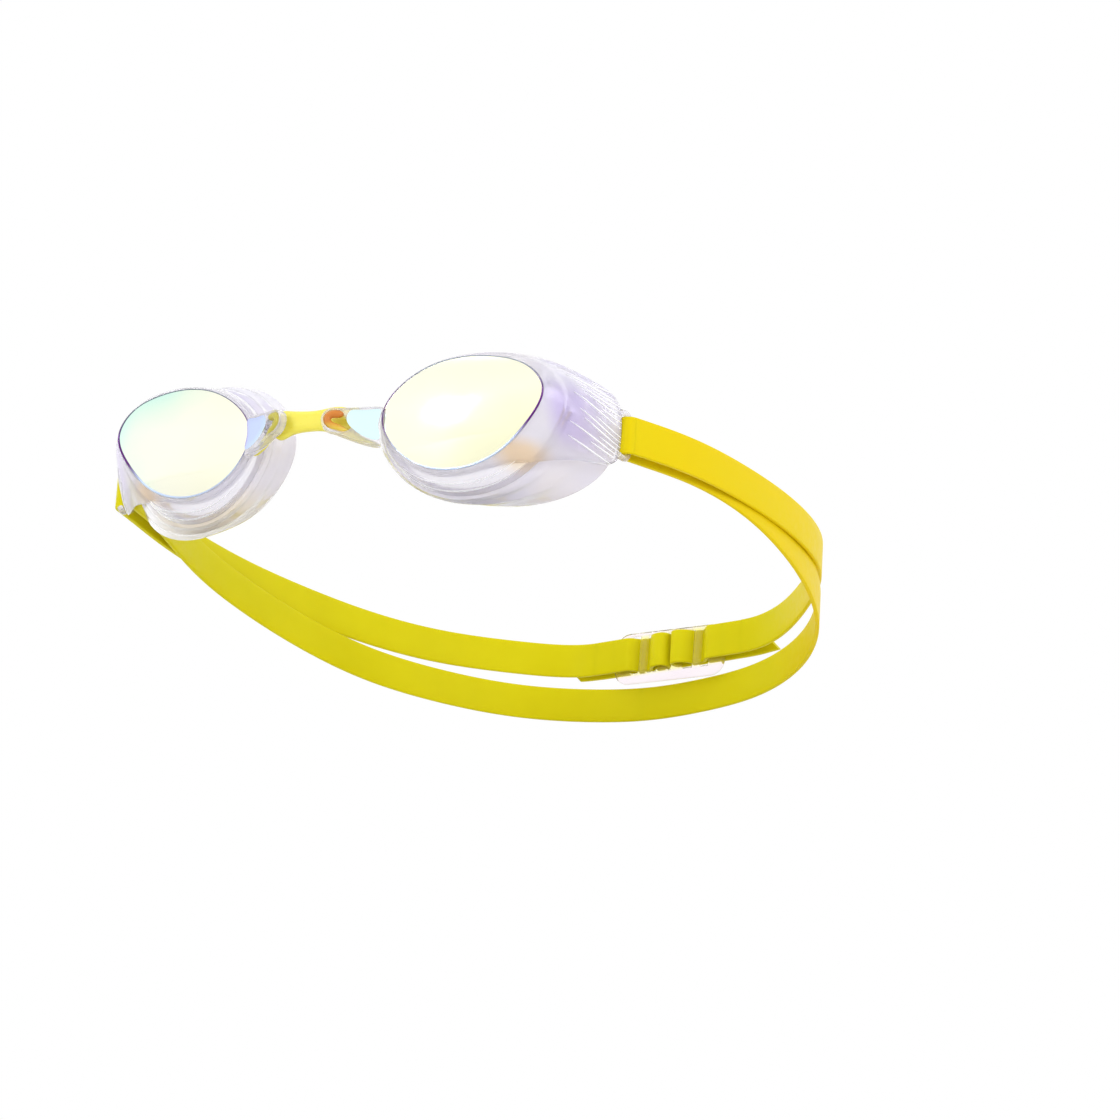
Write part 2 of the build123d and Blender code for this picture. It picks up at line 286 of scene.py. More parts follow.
class Skin:
    """Collects rings of points in millimetres and turns them into one mesh."""

    def __init__(self) -> None:
        """Start with no points and no faces."""
        self.points: list[np.ndarray] = []
        self.faces: list[list[int]] = []
        self.total = 0

    def _add(self, points: np.ndarray) -> int:
        """Keep some points and say where they start."""
        first = self.total
        self.points.append(points.reshape(-1, 3))
        self.total += len(self.points[-1])
        return first

    def loft(
        self,
        rings: np.ndarray,
        along: bool = False,
        caps: bool = False,
        flip: bool = False,
    ) -> None:
        """Join rings of points with four-sided faces.

        Args:
            rings: Points by ring, each a closed loop, and by place in the ring.
            along: True if the last ring joins the first.
            caps: True to close the first and last ring with a fan of faces.
            flip: True to turn the faces over.
        """
        rings = np.asarray(rings, float)
        count, size = rings.shape[:2]
        first = self._add(rings)
        made: list[list[int]] = []
        for i in range(count if along else count - 1):
            below, above = first + i * size, first + (i + 1) % count * size
            for j in range(size):
                k = (j + 1) % size
                made.append([below + j, below + k, above + k, above + j])
        if caps:
            for ring, turned in ((0, True), (count - 1, False)):
                hub = self._add(rings[ring].mean(axis=0))
                base = first + ring * size
                for j in range(size):
                    pair = [base + j, base + (j + 1) % size]
                    made.append([hub, *(reversed(pair) if turned else pair)])
        self.faces += [list(reversed(f)) for f in made] if flip else made

    def build(self, name: str) -> bpy.types.Object:
        """Make the mesh object, in metres.

        Args:
            name: The piece's name.

        Returns:
            The new object.
        """
        mesh = bpy.data.meshes.new(name)
        points = np.vstack(self.points) * MM
        mesh.from_pydata(points.tolist(), [], self.faces)
        mesh.update()
        shade(mesh)
        return put(name, mesh)


def tube(path: np.ndarray, radius: np.ndarray | float, sides: int) -> np.ndarray:
    """Rings for a round rod along a path.

    Args:
        path: Points along its middle.
        radius: Its radius, one for all or one for each point.
        sides: How many points are in each ring.

    Returns:
        The rings.
    """
    heading = unit(np.gradient(path, axis=0))
    normal = np.cross(heading[0], [0.0, 0.0, 1.0])
    nearly_upright = np.linalg.norm(normal) < 0.2
    if nearly_upright:
        normal = np.cross(heading[0], [1.0, 0.0, 0.0])
    radii = np.broadcast_to(radius, (len(path),))
    angles = np.linspace(0, 2 * math.pi, sides, endpoint=False)
    rings = []
    for point, ahead, size in zip(path, heading, radii):
        normal = unit(normal - ahead * (normal @ ahead))
        other = np.cross(ahead, normal)
        circle = np.outer(np.cos(angles), normal) + np.outer(np.sin(angles), other)
        rings.append(point + size * circle)
    return np.array(rings)


# --------------------------------------------------------------------------- finishes


class Graph:
    """Small helper that adds and links the nodes of one tree."""

    def __init__(self, tree: bpy.types.NodeTree) -> None:
        """Start from a tree, emptied."""
        self.tree = tree
        self.tree.nodes.clear()

    def add(self, kind: str, **settings: object) -> bpy.types.Node:
        """Add a node and set its properties and inputs.

        Args:
            kind: The node type without its "ShaderNode" prefix.
            settings: Properties, or input sockets by name with _ for a space.

        Returns:
            The new node.
        """
        node = self.tree.nodes.new("ShaderNode" + kind)
        for key, value in settings.items():
            if hasattr(node, key):
                setattr(node, key, value)
            else:
                node.inputs[key.replace("_", " ").title()].default_value = value
        return node

    def link(self, source: Socket, target: Socket) -> None:
        """Join two sockets."""
        self.tree.links.new(source, target)

    def axes(self, space: str = "Object") -> bpy.types.bpy_prop_collection:
        """The place on the object, or in another space, as sockets named X, Y and Z."""
        split = self.add("SeparateXYZ")
        self.link(self.add("TexCoord").outputs[space], split.inputs["Vector"])
        return split.outputs

    def ramp(self, source: Socket, stops: Sequence[tuple[float, Colour]]) -> Socket:
        """Turn a number into a colour.

        Args:
            source: The number's socket.
            stops: Places from 0 to 1 with their colours.

        Returns:
            The colour's socket.
        """
        node = self.add("ValToRGB")
        spots = node.color_ramp.elements
        while len(spots) < len(stops):
            spots.new(0.5)
        for spot, (place, colour) in zip(spots, stops):
            spot.position = place
            spot.color = (*colour, 1.0)
        self.link(source, node.inputs["Fac"])
        return node.outputs["Color"]

    def span(
        self, source: Socket, low: float, high: float, out_low: float = 0.0, out_high: float = 1.0
    ) -> Socket:
        """Map a number from one range to another, and keep it inside.

        Args:
            source: The number's socket.
            low: Where the range begins.
            high: Where it ends.
            out_low: What the beginning becomes.
            out_high: What the end becomes.

        Returns:
            The new number's socket.
        """
        node = self.add("MapRange")
        limits = {"From Min": low, "From Max": high, "To Min": out_low, "To Max": out_high}
        for name, value in limits.items():
            node.inputs[name].default_value = value
        self.link(source, node.inputs["Value"])
        return node.outputs["Result"]

    def join(self, operation: str, first: Socket, second: Socket) -> Socket:
        """Combine two numbers by an operation, such as ADD or MULTIPLY."""
        node = self.add("Math", operation=operation)
        self.link(first, node.inputs[0])
        self.link(second, node.inputs[1])
        return node.outputs[0]

    def mix(self, share: Socket, first: Socket | Colour, second: Socket | Colour) -> Socket:
        """Mix two colours.

        Args:
            share: Socket of the second one's share.
            first: A colour or its socket.
            second: A colour or its socket.

        Returns:
            The mixed colour's socket.
        """
        node = self.add("MixRGB")
        self.link(share, node.inputs["Fac"])
        for name, colour in (("Color1", first), ("Color2", second)):
            if isinstance(colour, tuple):
                node.inputs[name].default_value = (*colour, 1.0)
            else:
                self.link(colour, node.inputs[name])
        return node.outputs["Color"]

    def mix_shaders(self, share: Socket, first: Socket, second: Socket) -> Socket:
        """Mix two shaders by the second one's share."""
        node = self.add("MixShader")
        self.link(share, node.inputs["Fac"])
        self.link(first, node.inputs[1])
        self.link(second, node.inputs[2])
        return node.outputs["Shader"]


class Nodes(Graph):
    """The nodes of one material, around one shader."""

    def __init__(self, name: str) -> None:
        """Make an empty material with one shader and its output."""
        self.material = bpy.data.materials.new(name)
        self.material.use_nodes = True
        super().__init__(self.material.node_tree)
        self.output = self.add("OutputMaterial")
        self.shader = self.add("BsdfPrincipled")
        self.link(self.shader.outputs["BSDF"], self.output.inputs["Surface"])

    def set(self, **values: object) -> None:
        """Set constant values on the shader's own sockets, with _ for a space."""
        for key, value in values.items():
            self.shader.inputs[key.replace("_", " ")].default_value = value

    def noise(self, size_mm: float, detail: float = 3.0) -> Socket:
        """Soft noise whose blotches are about size_mm across."""
        node = self.add("TexNoise", Detail=detail, Roughness=0.55, Scale=1 / (size_mm * MM))
        self.link(self.add("TexCoord").outputs["Object"], node.inputs["Vector"])
        return node.outputs["Fac"]

    def paint(self, tone: Socket) -> None:
        """Use a colour as the shader's base colour."""
        self.link(tone, self.shader.inputs["Base Color"])

    def polish(self, size_mm: float, low: float, high: float, detail: float = 3.0) -> None:
        """Let the roughness wander between two values, in blotches about size_mm across."""
        rough = self.span(self.noise(size_mm, detail), NOISE_LOW, NOISE_HIGH, low, high)
        self.link(rough, self.shader.inputs["Roughness"])

    def bump(self, height: Socket, depth_mm: float, strength: float) -> None:
        """Raise the surface by a height map of that depth."""
        node = self.add("Bump", Strength=strength, Distance=depth_mm * MM)
        self.link(height, node.inputs["Height"])
        self.link(node.outputs["Normal"], self.shader.inputs["Normal"])


@dataclass(frozen=True)
class Patch:
    """A different tint where the surface is inside all of the patch's spans."""

    colour: Colour
    # Axis, where the tint begins and where it is full, in millimetres.
    spans: tuple[tuple[str, float, float], ...]

    def lay(self, n: Nodes, tone: Socket) -> Socket:
        """Mix the patch into a colour.

        Args:
            n: The material's nodes.
            tone: The colour's socket.

        Returns:
            The socket of the colour with the patch.
        """
        axes = n.axes()
        share, *others = [
            n.span(axes[axis], begins * MM, full * MM) for axis, begins, full in self.spans
        ]
        for other in others:
            share = n.join("MULTIPLY", share, other)
        return n.mix(share, tone, self.colour)


@dataclass(frozen=True)
class StrapSilicone:
    """Satin yellow silicone with a faint moulded grain and slightly uneven colour."""

    name: str = "strap silicone"
    light: Colour = (0.70, 0.63, 0.004)
    deep: Colour = (0.66, 0.59, 0.002)
    warm: Patch = Patch((0.79, 0.60, 0.002), (("X", 45.0, 76.0),))

    def make(self) -> bpy.types.Material:
        """Build the material."""
        n = Nodes(self.name)
        n.set(IOR=1.43, Specular_IOR_Level=0.1)
        n.set(Subsurface_Weight=0.22, Subsurface_Radius=(0.9, 0.7, 0.08), Subsurface_Scale=0.0018)
        tone = n.ramp(n.noise(22.0), [(0.32, self.deep), (0.68, self.light)])
        n.paint(self.warm.lay(n, tone))
        n.polish(1.6, 0.36, 0.5, detail=4.0)
        n.bump(n.noise(0.45, 2.0), 0.012, 0.5)
        return n.material


@dataclass(frozen=True)
class BridgeElastomer:
    """Glossier yellow of the nose bridge, with darker painted shade on the hooks inside the eyelets:
    brownish orange in the left one and dull greenish yellow in the right one.
    """

    name: str = "bridge elastomer"
    plain: Colour = (0.90, 0.80, 0.085)
    amber_shade: Colour = (0.62, 0.20, 0.015)
    olive_shade: Colour = (0.52, 0.46, 0.05)

    def make(self) -> bpy.types.Material:
        """Build the material."""
        n = Nodes(self.name)
        n.set(IOR=1.45, Coat_Weight=0.25, Coat_Roughness=0.08)
        n.set(Subsurface_Weight=0.15, Subsurface_Radius=(0.9, 0.7, 0.1), Subsurface_Scale=0.0012)
        axes = n.axes()
        # Painted shade: the hooks, forward of the band inside the eyelets, take the darker colours,
        # fuller towards the top.
        deep = n.mix(n.span(axes["X"], -1 * MM, 1 * MM), self.olive_shade, self.amber_shade)
        front = n.span(axes["Y"], 0.2 * MM, -1.2 * MM)
        high = n.span(axes["Z"], -4.4 * MM, -2.6 * MM, 0.35, 1.0)
        n.paint(n.mix(n.join("MULTIPLY", front, high), self.plain, deep))
        n.polish(1.2, 0.26, 0.36)
        n.bump(n.noise(0.6, 2.0), 0.008, 0.4)
        return n.material


@dataclass(frozen=True)
class ClearMoulding:
    """Clear moulded plastic or silicone: mostly see-through, with a milky cast and a glossy skin."""

    name: str
    tint: Colour
    warm: Colour
    clear: float
    roughness: float
    ior: float = 1.14
    skin: float = 0.8
    blotch_mm: float = 14.0
    ripple_mm: float = 0.02
    patches: tuple[Patch, ...] = ()

    def make(self) -> bpy.types.Material:
        """Build the material."""
        n = Nodes(self.name)
        n.set(IOR=self.ior, Transmission_Weight=self.clear)
        n.set(Coat_Weight=self.skin, Coat_Roughness=0.04, Coat_IOR=1.5)
        tone = n.ramp(n.noise(self.blotch_mm, 2.0), [(0.35, self.tint), (0.65, self.warm)])
        for patch in self.patches:
            tone = patch.lay(n, tone)
        n.paint(tone)
        n.polish(3.0, self.roughness * 0.6, self.roughness * 1.4, detail=2.0)
        n.bump(n.noise(5.0, 1.0), self.ripple_mm, 0.4)
        return n.material


@dataclass(frozen=True)
class MirrorCoat:
    """Pale gold mirror film that turns aqua and then violet as the surface turns away."""

    name: str = "mirror coat"
    stops: tuple[tuple[float, Colour], ...] = (
        (0.00, (1.00, 0.99, 0.66)),
        (0.10, (1.00, 0.99, 0.78)),
        (0.27, (1.00, 1.00, 0.84)),
        (0.33, (0.88, 1.00, 0.84)),
        (0.40, (0.58, 0.97, 0.87)),
        (0.56, (0.60, 0.66, 0.95)),
        (0.75, (0.56, 0.30, 0.72)),
    )

    def make(self) -> bpy.types.Material:
        """Build the material."""
        n = Nodes(self.name)
        n.set(Metallic=1.0, Roughness=0.1)
        turn = n.add("LayerWeight", Blend=0.5).outputs["Facing"]
        wander = n.span(n.noise(16.0, 1.0), NOISE_LOW, NOISE_HIGH, -0.02, 0.02)
        n.paint(n.ramp(n.join("ADD", turn, wander), self.stops))
        n.polish(9.0, 0.07, 0.14, detail=2.0)
        return n.material


@dataclass(frozen=True)
class CoatEdge:
    """The coat's dark iridescent edge: slate above, violet at the temple and blue below."""

    name: str = "coat edge"
    slate: Colour = (0.20, 0.24, 0.28)
    violet: Colour = (0.13, 0.03, 0.20)
    blue: Colour = (0.60, 0.72, 0.92)

    def make(self) -> bpy.types.Material:
        """Build the material."""
        n = Nodes(self.name)
        n.set(Metallic=0.85, Roughness=0.22)
        low = n.span(n.axes()["Z"], 14 * MM, -14 * MM)
        stops = [(0.1, self.slate), (0.4, self.violet), (0.62, self.violet), (0.8, self.blue)]
        n.paint(n.ramp(low, stops))
        n.polish(2.0, 0.16, 0.3)
        return n.material


@dataclass(frozen=True)
class FrostedLineAndHighlight:
    """White satin of the fine lines moulded on the wings, also used for the painted highlight lines below
    the lens.
    """

    name: str = "frosted line and highlight"
    white: Colour = (0.99, 0.99, 0.995)
    lilac: Colour = (0.96, 0.955, 0.98)

    def make(self) -> bpy.types.Material:
        """Build the material."""
        n = Nodes(self.name)
        n.set(IOR=1.3)
        n.paint(n.ramp(n.noise(3.0), [(NOISE_LOW, self.white), (NOISE_HIGH, self.lilac)]))
        n.polish(1.0, 0.4, 0.6)
        return n.material


TAB_FILM = MirrorCoat(
    "tab film",
    (
        (0.00, (0.72, 0.97, 0.99)),
        (0.20, (0.84, 1.00, 1.00)),
        (0.42, (0.62, 0.76, 0.99)),
        (0.75, (0.50, 0.42, 0.85)),
    ),
)
CLEAR_SHELL = ClearMoulding(
    "clear shell", (0.935, 0.92, 0.99), (0.965, 0.945, 0.98), clear=0.72, roughness=0.05,
    # Painted reflections: on each wing a lilac glint beside the lens's temple edge and a peach glint low
    # on the temple side below the lens.
    patches=tuple(
        Patch(colour, (("X", side * out[0], side * out[1]), ("X", side * out[3], side * out[2]), *spans))
        for side in (1, -1)
        for colour, out, spans in (
            ((0.83, 0.76, 0.98), (55.5, 58.0, 61.0, 65.0), (("Z", -8.0, -4.0), ("Z", 8.0, 4.0))),
            ((0.99, 0.86, 0.70), (43.0, 47.5, 51.5, 56.0), (("Z", -14.0, -11.5), ("Z", -6.0, -8.5))),
        )
    ),
)
CLEAR_SILICONE = ClearMoulding(
    "clear silicone", (0.885, 0.86, 0.955), (0.935, 0.895, 0.925), clear=0.50, roughness=0.16, skin=0.6,
    patches=(
        # Painted warm light: a brighter peach tint low on the right gasket, as if lit by the
        # surroundings.
        Patch((1.0, 0.92, 0.80), (("X", -10.0, -22.0), ("Z", -10.0, -15.0))),
        # Painted shade: the gaskets' tops are a darker lilac.
        Patch((0.80, 0.77, 0.93), (("Z", 5.0, 13.0),)),
    ),
)
CLEAR_BUCKLE = ClearMoulding(
    "clear buckle", (0.94, 0.86, 0.91), (0.97, 0.91, 0.94), clear=0.95, roughness=0.03,
    # Painted reflection and shade: a yellow tint over the slots' height stands in for the strap's yellow
    # reflected in the bars and shaded behind them.
    ior=1.12, skin=0.35, patches=(Patch((0.98, 0.94, 0.45), (("Z", -8.0, -7.3), ("Z", 3.2, 2.5))),),
)


@dataclass
class Finishes:
    """One of each material, made once and shared."""

    strap: bpy.types.Material = field(default_factory=lambda: StrapSilicone().make())
    bridge: bpy.types.Material = field(default_factory=lambda: BridgeElastomer().make())
    shell: bpy.types.Material = field(default_factory=lambda: CLEAR_SHELL.make())
    gasket: bpy.types.Material = field(default_factory=lambda: CLEAR_SILICONE.make())
    coat: bpy.types.Material = field(default_factory=lambda: MirrorCoat().make())
    film: bpy.types.Material = field(default_factory=lambda: TAB_FILM.make())
    edge: bpy.types.Material = field(default_factory=lambda: CoatEdge().make())
    line: bpy.types.Material = field(default_factory=lambda: FrostedLineAndHighlight().make())
    buckle: bpy.types.Material = field(default_factory=lambda: CLEAR_BUCKLE.make())


def dress(
    piece: bpy.types.Object,
    material: bpy.types.Material,
    nodes: Sequence[str] = (),
    body: str | None = None,
) -> bpy.types.Object:
    """Give a piece its material, the nodes it stands for and its body.

    Args:
        piece: The mesh object.
        material: What it is made of.
        nodes: CAD nodes that it stands for.
        body: The body it rides on, or None if it bends between bodies.

    Returns:
        The same object.
    """
    piece.data.materials.append(material)
    if nodes:
        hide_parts(*nodes)
    if body:
        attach(piece, body)
    LOG.info("%s: %d faces", piece.name, len(piece.data.polygons))
    return piece


# --------------------------------------------------------------------------- eyepieces


@dataclass
class TurnedPlane:
    """A plane turned out towards the temple and tilted, on which outlines are drawn."""

    centre: Point
    wrap: float
    pitch: float = 0.0

    def axes(self) -> tuple[np.ndarray, np.ndarray, np.ndarray]:
        """Its outward, upward and backward directions."""
        wrap, pitch = math.radians(self.wrap), math.radians(self.pitch)
        out = np.array([math.cos(wrap), math.sin(wrap), 0.0])
        back = np.array(
            [
                -math.sin(wrap) * math.cos(pitch),
                math.cos(wrap) * math.cos(pitch),
                math.sin(pitch),
            ]
        )
        return out, np.cross(out, back), back

    def world(self, local: np.ndarray) -> np.ndarray:
        """Points given as outward, upward and backward distances, in the shared frame."""
        return np.array(self.centre) + np.asarray(local, float) @ np.array(self.axes())


@dataclass
class Eyepiece:
    """Lens, cup, nose tab, temple wing and slot bar of one eyepiece, with its gasket."""

    side: Side
    finishes: Finishes
    lens: TurnedPlane = field(default_factory=lambda: TurnedPlane((36.5, 5.5, 0.3), 7.0, 4.0))
    seat: TurnedPlane = field(default_factory=lambda: TurnedPlane((37.0, 13.2, -0.6), 14.0))
    face: TurnedPlane = field(default_factory=lambda: TurnedPlane((37.9, 24.1, -0.4), 18.75))
    # The cup wall's size behind the lens, and the seat's, against the lens's outline.
    wall_size: float = 0.985
    seat_scale: tuple[float, float] = (1.12, 1.22)
    face_outline: Pairs = (
        (-28.0, -0.9), (-18.5, -12.9), (-3.8, -16.4), (11.3, -15.7), (25.9, -5.6),
        (25.8, 6.4), (21.8, 12.0), (11.9, 17.1), (-2.9, 19.7), (-18.2, 14.7),
    )
    per_span: int = 14
    dome: float = 1.7
    # Sizes of the rings across the lens front, against its outline.
    front_parts: tuple[float, ...] = (0.02, 0.2, 0.4, 0.6, 0.76, 0.88, 0.95, 0.985, 1.0)
    shoulder_rings: int = 15
    shell_thick: float = 1.5
    outline: Pairs = (
        (-19.4, -0.6), (-14.6, -9.6), (-3.5, -14.1), (8.5, -11.2), (16.6, -3.4),
        (19.7, 4.6), (17.0, 8.8), (9.0, 12.2), (-2.0, 12.6), (-12.1, 9.0),
    )
    # The shoulder's outer edge: place on the outline, then outward, upward, backward.
    brim: tuple[tuple[float, float, float, float], ...] = (
        (0.0, -19.7, -0.7, 2.4), (1.0, -15.1, -10.3, 2.4), (2.0, -3.7, -15.2, 2.4),
        (3.0, 10.0, -12.8, 3.4), (3.45, 17.4, -11.4, 6.8), (3.8, 24.9, -10.1, 12.4),
        (4.15, 31.6, -8.9, 18.4), (5.0, 32.4, -2.6, 18.8), (5.85, 31.8, 5.0, 18.2),
        (6.25, 27.2, 8.9, 12.4), (6.65, 20.3, 11.9, 6.8), (7.1, 11.2, 13.9, 3.6),
        (8.0, -2.2, 13.5, 2.8), (9.0, -12.3, 9.5, 2.6),
    )
    # How far the wing's end is drawn in, where on the brim that begins and over what distance.
    wing_tuck: dict[Side, float] = field(default_factory=lambda: {Side.LEFT: 0.0, Side.RIGHT: 0.8})
    tuck_from: float = 14.0
    tuck_over: float = 10.0
    bar: Point = SLOT_BAR
    rail_reach: float = 5.2
    rail_radius: float = 0.75
    rod_rings: int = 44
    eyelet: tuple[float, float] = (7.7, -1.9)
    eyelet_height: dict[Side, float] = field(
        default_factory=lambda: {Side.LEFT: -1.9, Side.RIGHT: -0.7}
    )
    tab_angle: float = 26.0
    tab_thick: float = 1.9
    tab_points: int = 72
    # Half width and half height of the hole, and the direction and length of its drawn-out corner.
    hole: tuple[float, float] = (2.5, 2.35)
    hole_corner: tuple[float, float] = (0.88, -0.47)
    hole_stretch: float = 0.75
    # The eyelet rim's half width, and its height above and below the hole against that.
    eyelet_rim: float = 3.05
    rim_height: tuple[float, float] = (0.92, 1.02)
    # How far the tab reaches, and how it flares above and below: extra height and its power.
    tab_reach: float = 10.4
    tab_bulge: float = 1.6
    flare_above: tuple[float, float] = (2.6, 1.6)
    flare_below: tuple[float, float] = (5.3, 1.1)
    film_ahead: float = 0.05
    film_thick: float = 0.14
    film_points: int = 48
    coat_size: float = 0.985
    coat_ahead: float = 0.07
    coat_thick: float = 0.1
    edge_size: float = 0.987
    edge_ahead: float = 0.12
    # Radius of the coat's edge line, and how much it grows low on the temple side.
    edge_girth: tuple[float, float] = (0.12, 0.2)
    # The wing's fine lines: how many, the first ring of each in turn, and their radius.
    line_count: int = 14
    line_rings: tuple[int, ...] = (6, 9, 5, 10, 7)
    line_girth: float = 0.22
    line_sink: float = 0.06
    line_points: int = 22
    wing_from: float = 29.0
    # The two painted highlight lines below the lens, white beads along the cup wall: share of the cup
    # wall and how far they stand out.
    low_highlights: Pairs = ((0.41, 1.05), (0.71, 0.85))
    low_highlight_girth: float = 0.2
    low_highlight_span: tuple[float, float] = (1.0, 3.3)

    def _spread(self, outline: Sequence[tuple[float, float]]) -> np.ndarray:
        """Points round an outline, the same number in each span between its chosen points."""
        curve = Curve(outline, closed=True)
        spans = np.arange(len(outline) * self.per_span) / self.per_span
        return curve.at(np.interp(spans, np.arange(len(curve.marks)), curve.marks))

    def _brim_places(self) -> tuple[np.ndarray, np.ndarray]:
        """Places spread round the brim.

        Returns:
            The brim's points on the lens plane, and the lens's outline where each one meets it.
        """
        edge = self._spread(self.outline)
        fine = Curve([b[1:] for b in self.brim], closed=True)
        known = [*(b[0] for b in self.brim), float(len(self.outline))]
        spans = np.arange(len(edge)) / self.per_span
        brim = fine.at(np.interp(spans, known, fine.marks))
        drawn = np.clip((brim[:, 0] - self.tuck_from) / self.tuck_over, 0, 1)
        brim[:, 0] -= self.wing_tuck[self.side] * drawn
        return brim, edge

    def _add(self, skin: Skin, rings: np.ndarray, flip: bool = False, **options: bool) -> None:
        """Add rings on this side, with their faces turned the right way out."""
        turned = flip != (self.side is Side.RIGHT)
        skin.loft(rings * self.side.mirror, flip=turned, **options)

    def _piece(
        self,
        skin: Skin,
        name: str,
        material: bpy.types.Material,
        nodes: Sequence[str] = (),
    ) -> bpy.types.Object:
        """Turn a skin into a piece of this eyepiece, which rides on its body.

        Args:
            skin: The piece's rings.
            name: Its name without the side.
            material: What it is made of.
            nodes: CAD nodes that it stands for, without the side.

        Returns:
            The piece.
        """
        word = self.side.word
        piece = skin.build(f"{name}_{word}")
        return dress(piece, material, [f"{node}_{word}" for node in nodes], f"eyepiece_{word}")

    def _front(self, scale: float, ahead: float) -> np.ndarray:
        """Rings of the domed lens front.

        Args:
            scale: Its size against the lens's outline.
            ahead: How far it stands in front of the lens plane.

        Returns:
            Rings from near the middle out to the edge.
        """
        _, edge = self._brim_places()
        rings = []
        for part in self.front_parts:
            flat = edge * part * scale
            rise = self.dome * (1 - (part * scale) ** 2) + ahead
            rings.append(np.column_stack([flat, np.full(len(flat), -rise)]))
        return np.array(rings)

    def _shoulder(self) -> np.ndarray:
        """Rings from the lens edge out over the shoulder and along the wing to its brim."""
        brim, edge = self._brim_places()
        start = np.column_stack([edge, np.zeros(len(edge))])
        reach = np.linalg.norm(brim - start, axis=1, keepdims=True)
        out = unit(np.column_stack([edge, np.zeros(len(edge))]))
        back = np.array([0.0, 0.0, 1.0])
        # 0 where the brim is near the lens and 1 along the wing, which is flatter.
        lean = np.clip((reach - 3.0) / 12.0, 0, 1)
        leave = unit(out * (0.75 - 0.1 * lean) + back * 0.55) * reach
        arrive = unit((brim - start) / reach + back * (0.9 - 0.55 * lean)) * reach
        shares = np.linspace(0, 1, self.shoulder_rings)
        return np.array([hermite(share, start, leave, brim, arrive) for share in shares])

    def _closed_sheet(self, skin: Skin, rings: np.ndarray, thick: float) -> None:
        """Add a sheet of even thickness, closed round its brim, whose middle is rings[0].

        Args:
            skin: Where it goes.
            rings: The front surface on the lens plane's axes, from the middle outwards.
            thick: The sheet's thickness.
        """
        across = np.roll(rings, -1, axis=1) - np.roll(rings, 1, axis=1)
        along = np.gradient(rings, axis=0)
        normal = unit(np.cross(across, along))
        if normal[0, :, 2].mean() < 0:
            normal = -normal
        rear = rings + normal * thick
        whole = np.vstack([rings, rear[::-1]])
        self._add(skin, self.lens.world(whole), caps=True, flip=True)

    def build_shell(self) -> bpy.types.Object:
        """The clear moulding: lens, shoulder, wing, cup wall, slot bar and nose tab."""
        skin = Skin()
        surface = np.vstack([self._front(1.0, 0.0), self._shoulder()[1:]])
        self._closed_sheet(skin, surface, self.shell_thick)
        self._cup_wall(skin)
        self._slot_bar(skin)
        self._nose_tab(skin)
        return self._piece(skin, "clear_shell", self.finishes.shell, nodes=["eyepiece"])

    def _between(self, share: float, out: float) -> np.ndarray:
        """A ring part of the way from the lens plane to the seat, in the shared frame.

        Args:
            share: 0 at the lens plane and 1 at the seat.
            out: How far it stands out from the straight line between them.

        Returns:
            The ring's points.
        """
        edge = self._spread(self.outline)
        near = (self.lens, edge * self.wall_size)
        return self._ring(near, (self.seat, edge * self.seat_scale), share, out)

    def _ring(
        self,
        near: tuple[TurnedPlane, np.ndarray],
        far: tuple[TurnedPlane, np.ndarray],
        share: float,
        out: float,
    ) -> np.ndarray:
        """A ring between the outlines on two planes.

        Args:
            near: The plane and the outline at share 0.
            far: The plane and the outline at share 1.
            share: How far along it is.
            out: How far it stands out sideways.

        Returns:
            The ring's points in the shared frame.
        """
        ends = []
        for plane, edge in (near, far):
            level = np.column_stack([edge, np.zeros(len(edge))])
            ends.append(plane.world(level + unit(level) * out))
        return ends[0] * (1 - share) + ends[1] * share

    def _cup_wall(self, skin: Skin) -> None:
        """Stepped wall of the cup, from behind the lens edge to the gasket's seat."""
        # Share of the way to the seat, and how far it stands out.
        steps = (
            (0.05, -0.4), (0.34, 0.1), (0.38, 0.8), (0.44, 1.0), (0.68, 0.9), (0.72, 0.55),
            (0.94, 0.5), (1.0, 0.2), (1.0, -1.5), (0.7, -1.5), (0.35, -1.5), (0.12, -1.5),
        )
        rings = np.array([self._between(share, out) for share, out in steps])
        self._add(skin, rings, along=True)

    def _slot_bar(self, skin: Skin) -> None:
        """Staple-shaped rod that closes the strap slot behind the wing's end."""
        centre = np.array(self.bar)
        foot = centre - [0.55, 3.6, 0.0]
        up = np.array([0.0, 0.0, self.rail_reach])
        ahead, below = np.array([0.1, 0.9, 0.0]), np.array([0.0, 0.0, 0.9])
        upper = [foot + up, centre + up - ahead, centre + up - below]
        lower = [centre - up + below, centre - up - ahead, foot - up]
        path = Curve([*upper, centre, *lower])
        self._add(skin, tube(path.even(self.rod_rings), self.rail_radius, sides=14), caps=True)

    def tab_plane(self) -> TurnedPlane:
        """The nose tab's plane, through the eyelet."""
        return TurnedPlane((*self.eyelet, self.eyelet_height[self.side]), self.tab_angle)

    def _tab_rim(self, cosine: float, sine: float) -> tuple[float, float]:
        """A point of the tab's rim, round the eyelet and flared towards the lens.

        Args:
            cosine: Outward part of the direction from the eyelet's middle.
            sine: Upward part of that direction.

        Returns:
            The point, outward and upward.
        """
        tall = self.eyelet_rim * self.rim_height[0 if sine > 0 else 1]
        if cosine < 0.05:
            # The half away from the lens stays round.
            return self.eyelet_rim * cosine, tall * sine
        # The end beside the lens is straight wherever this share is one.
        share = min(1.0, cosine / 0.72) ** 1.35
        grown = share * (self.tab_reach + self.tab_bulge * sine * sine)
        flare, power = self.flare_above if sine > 0 else self.flare_below
        return grown, sine * (tall + flare * share**power)

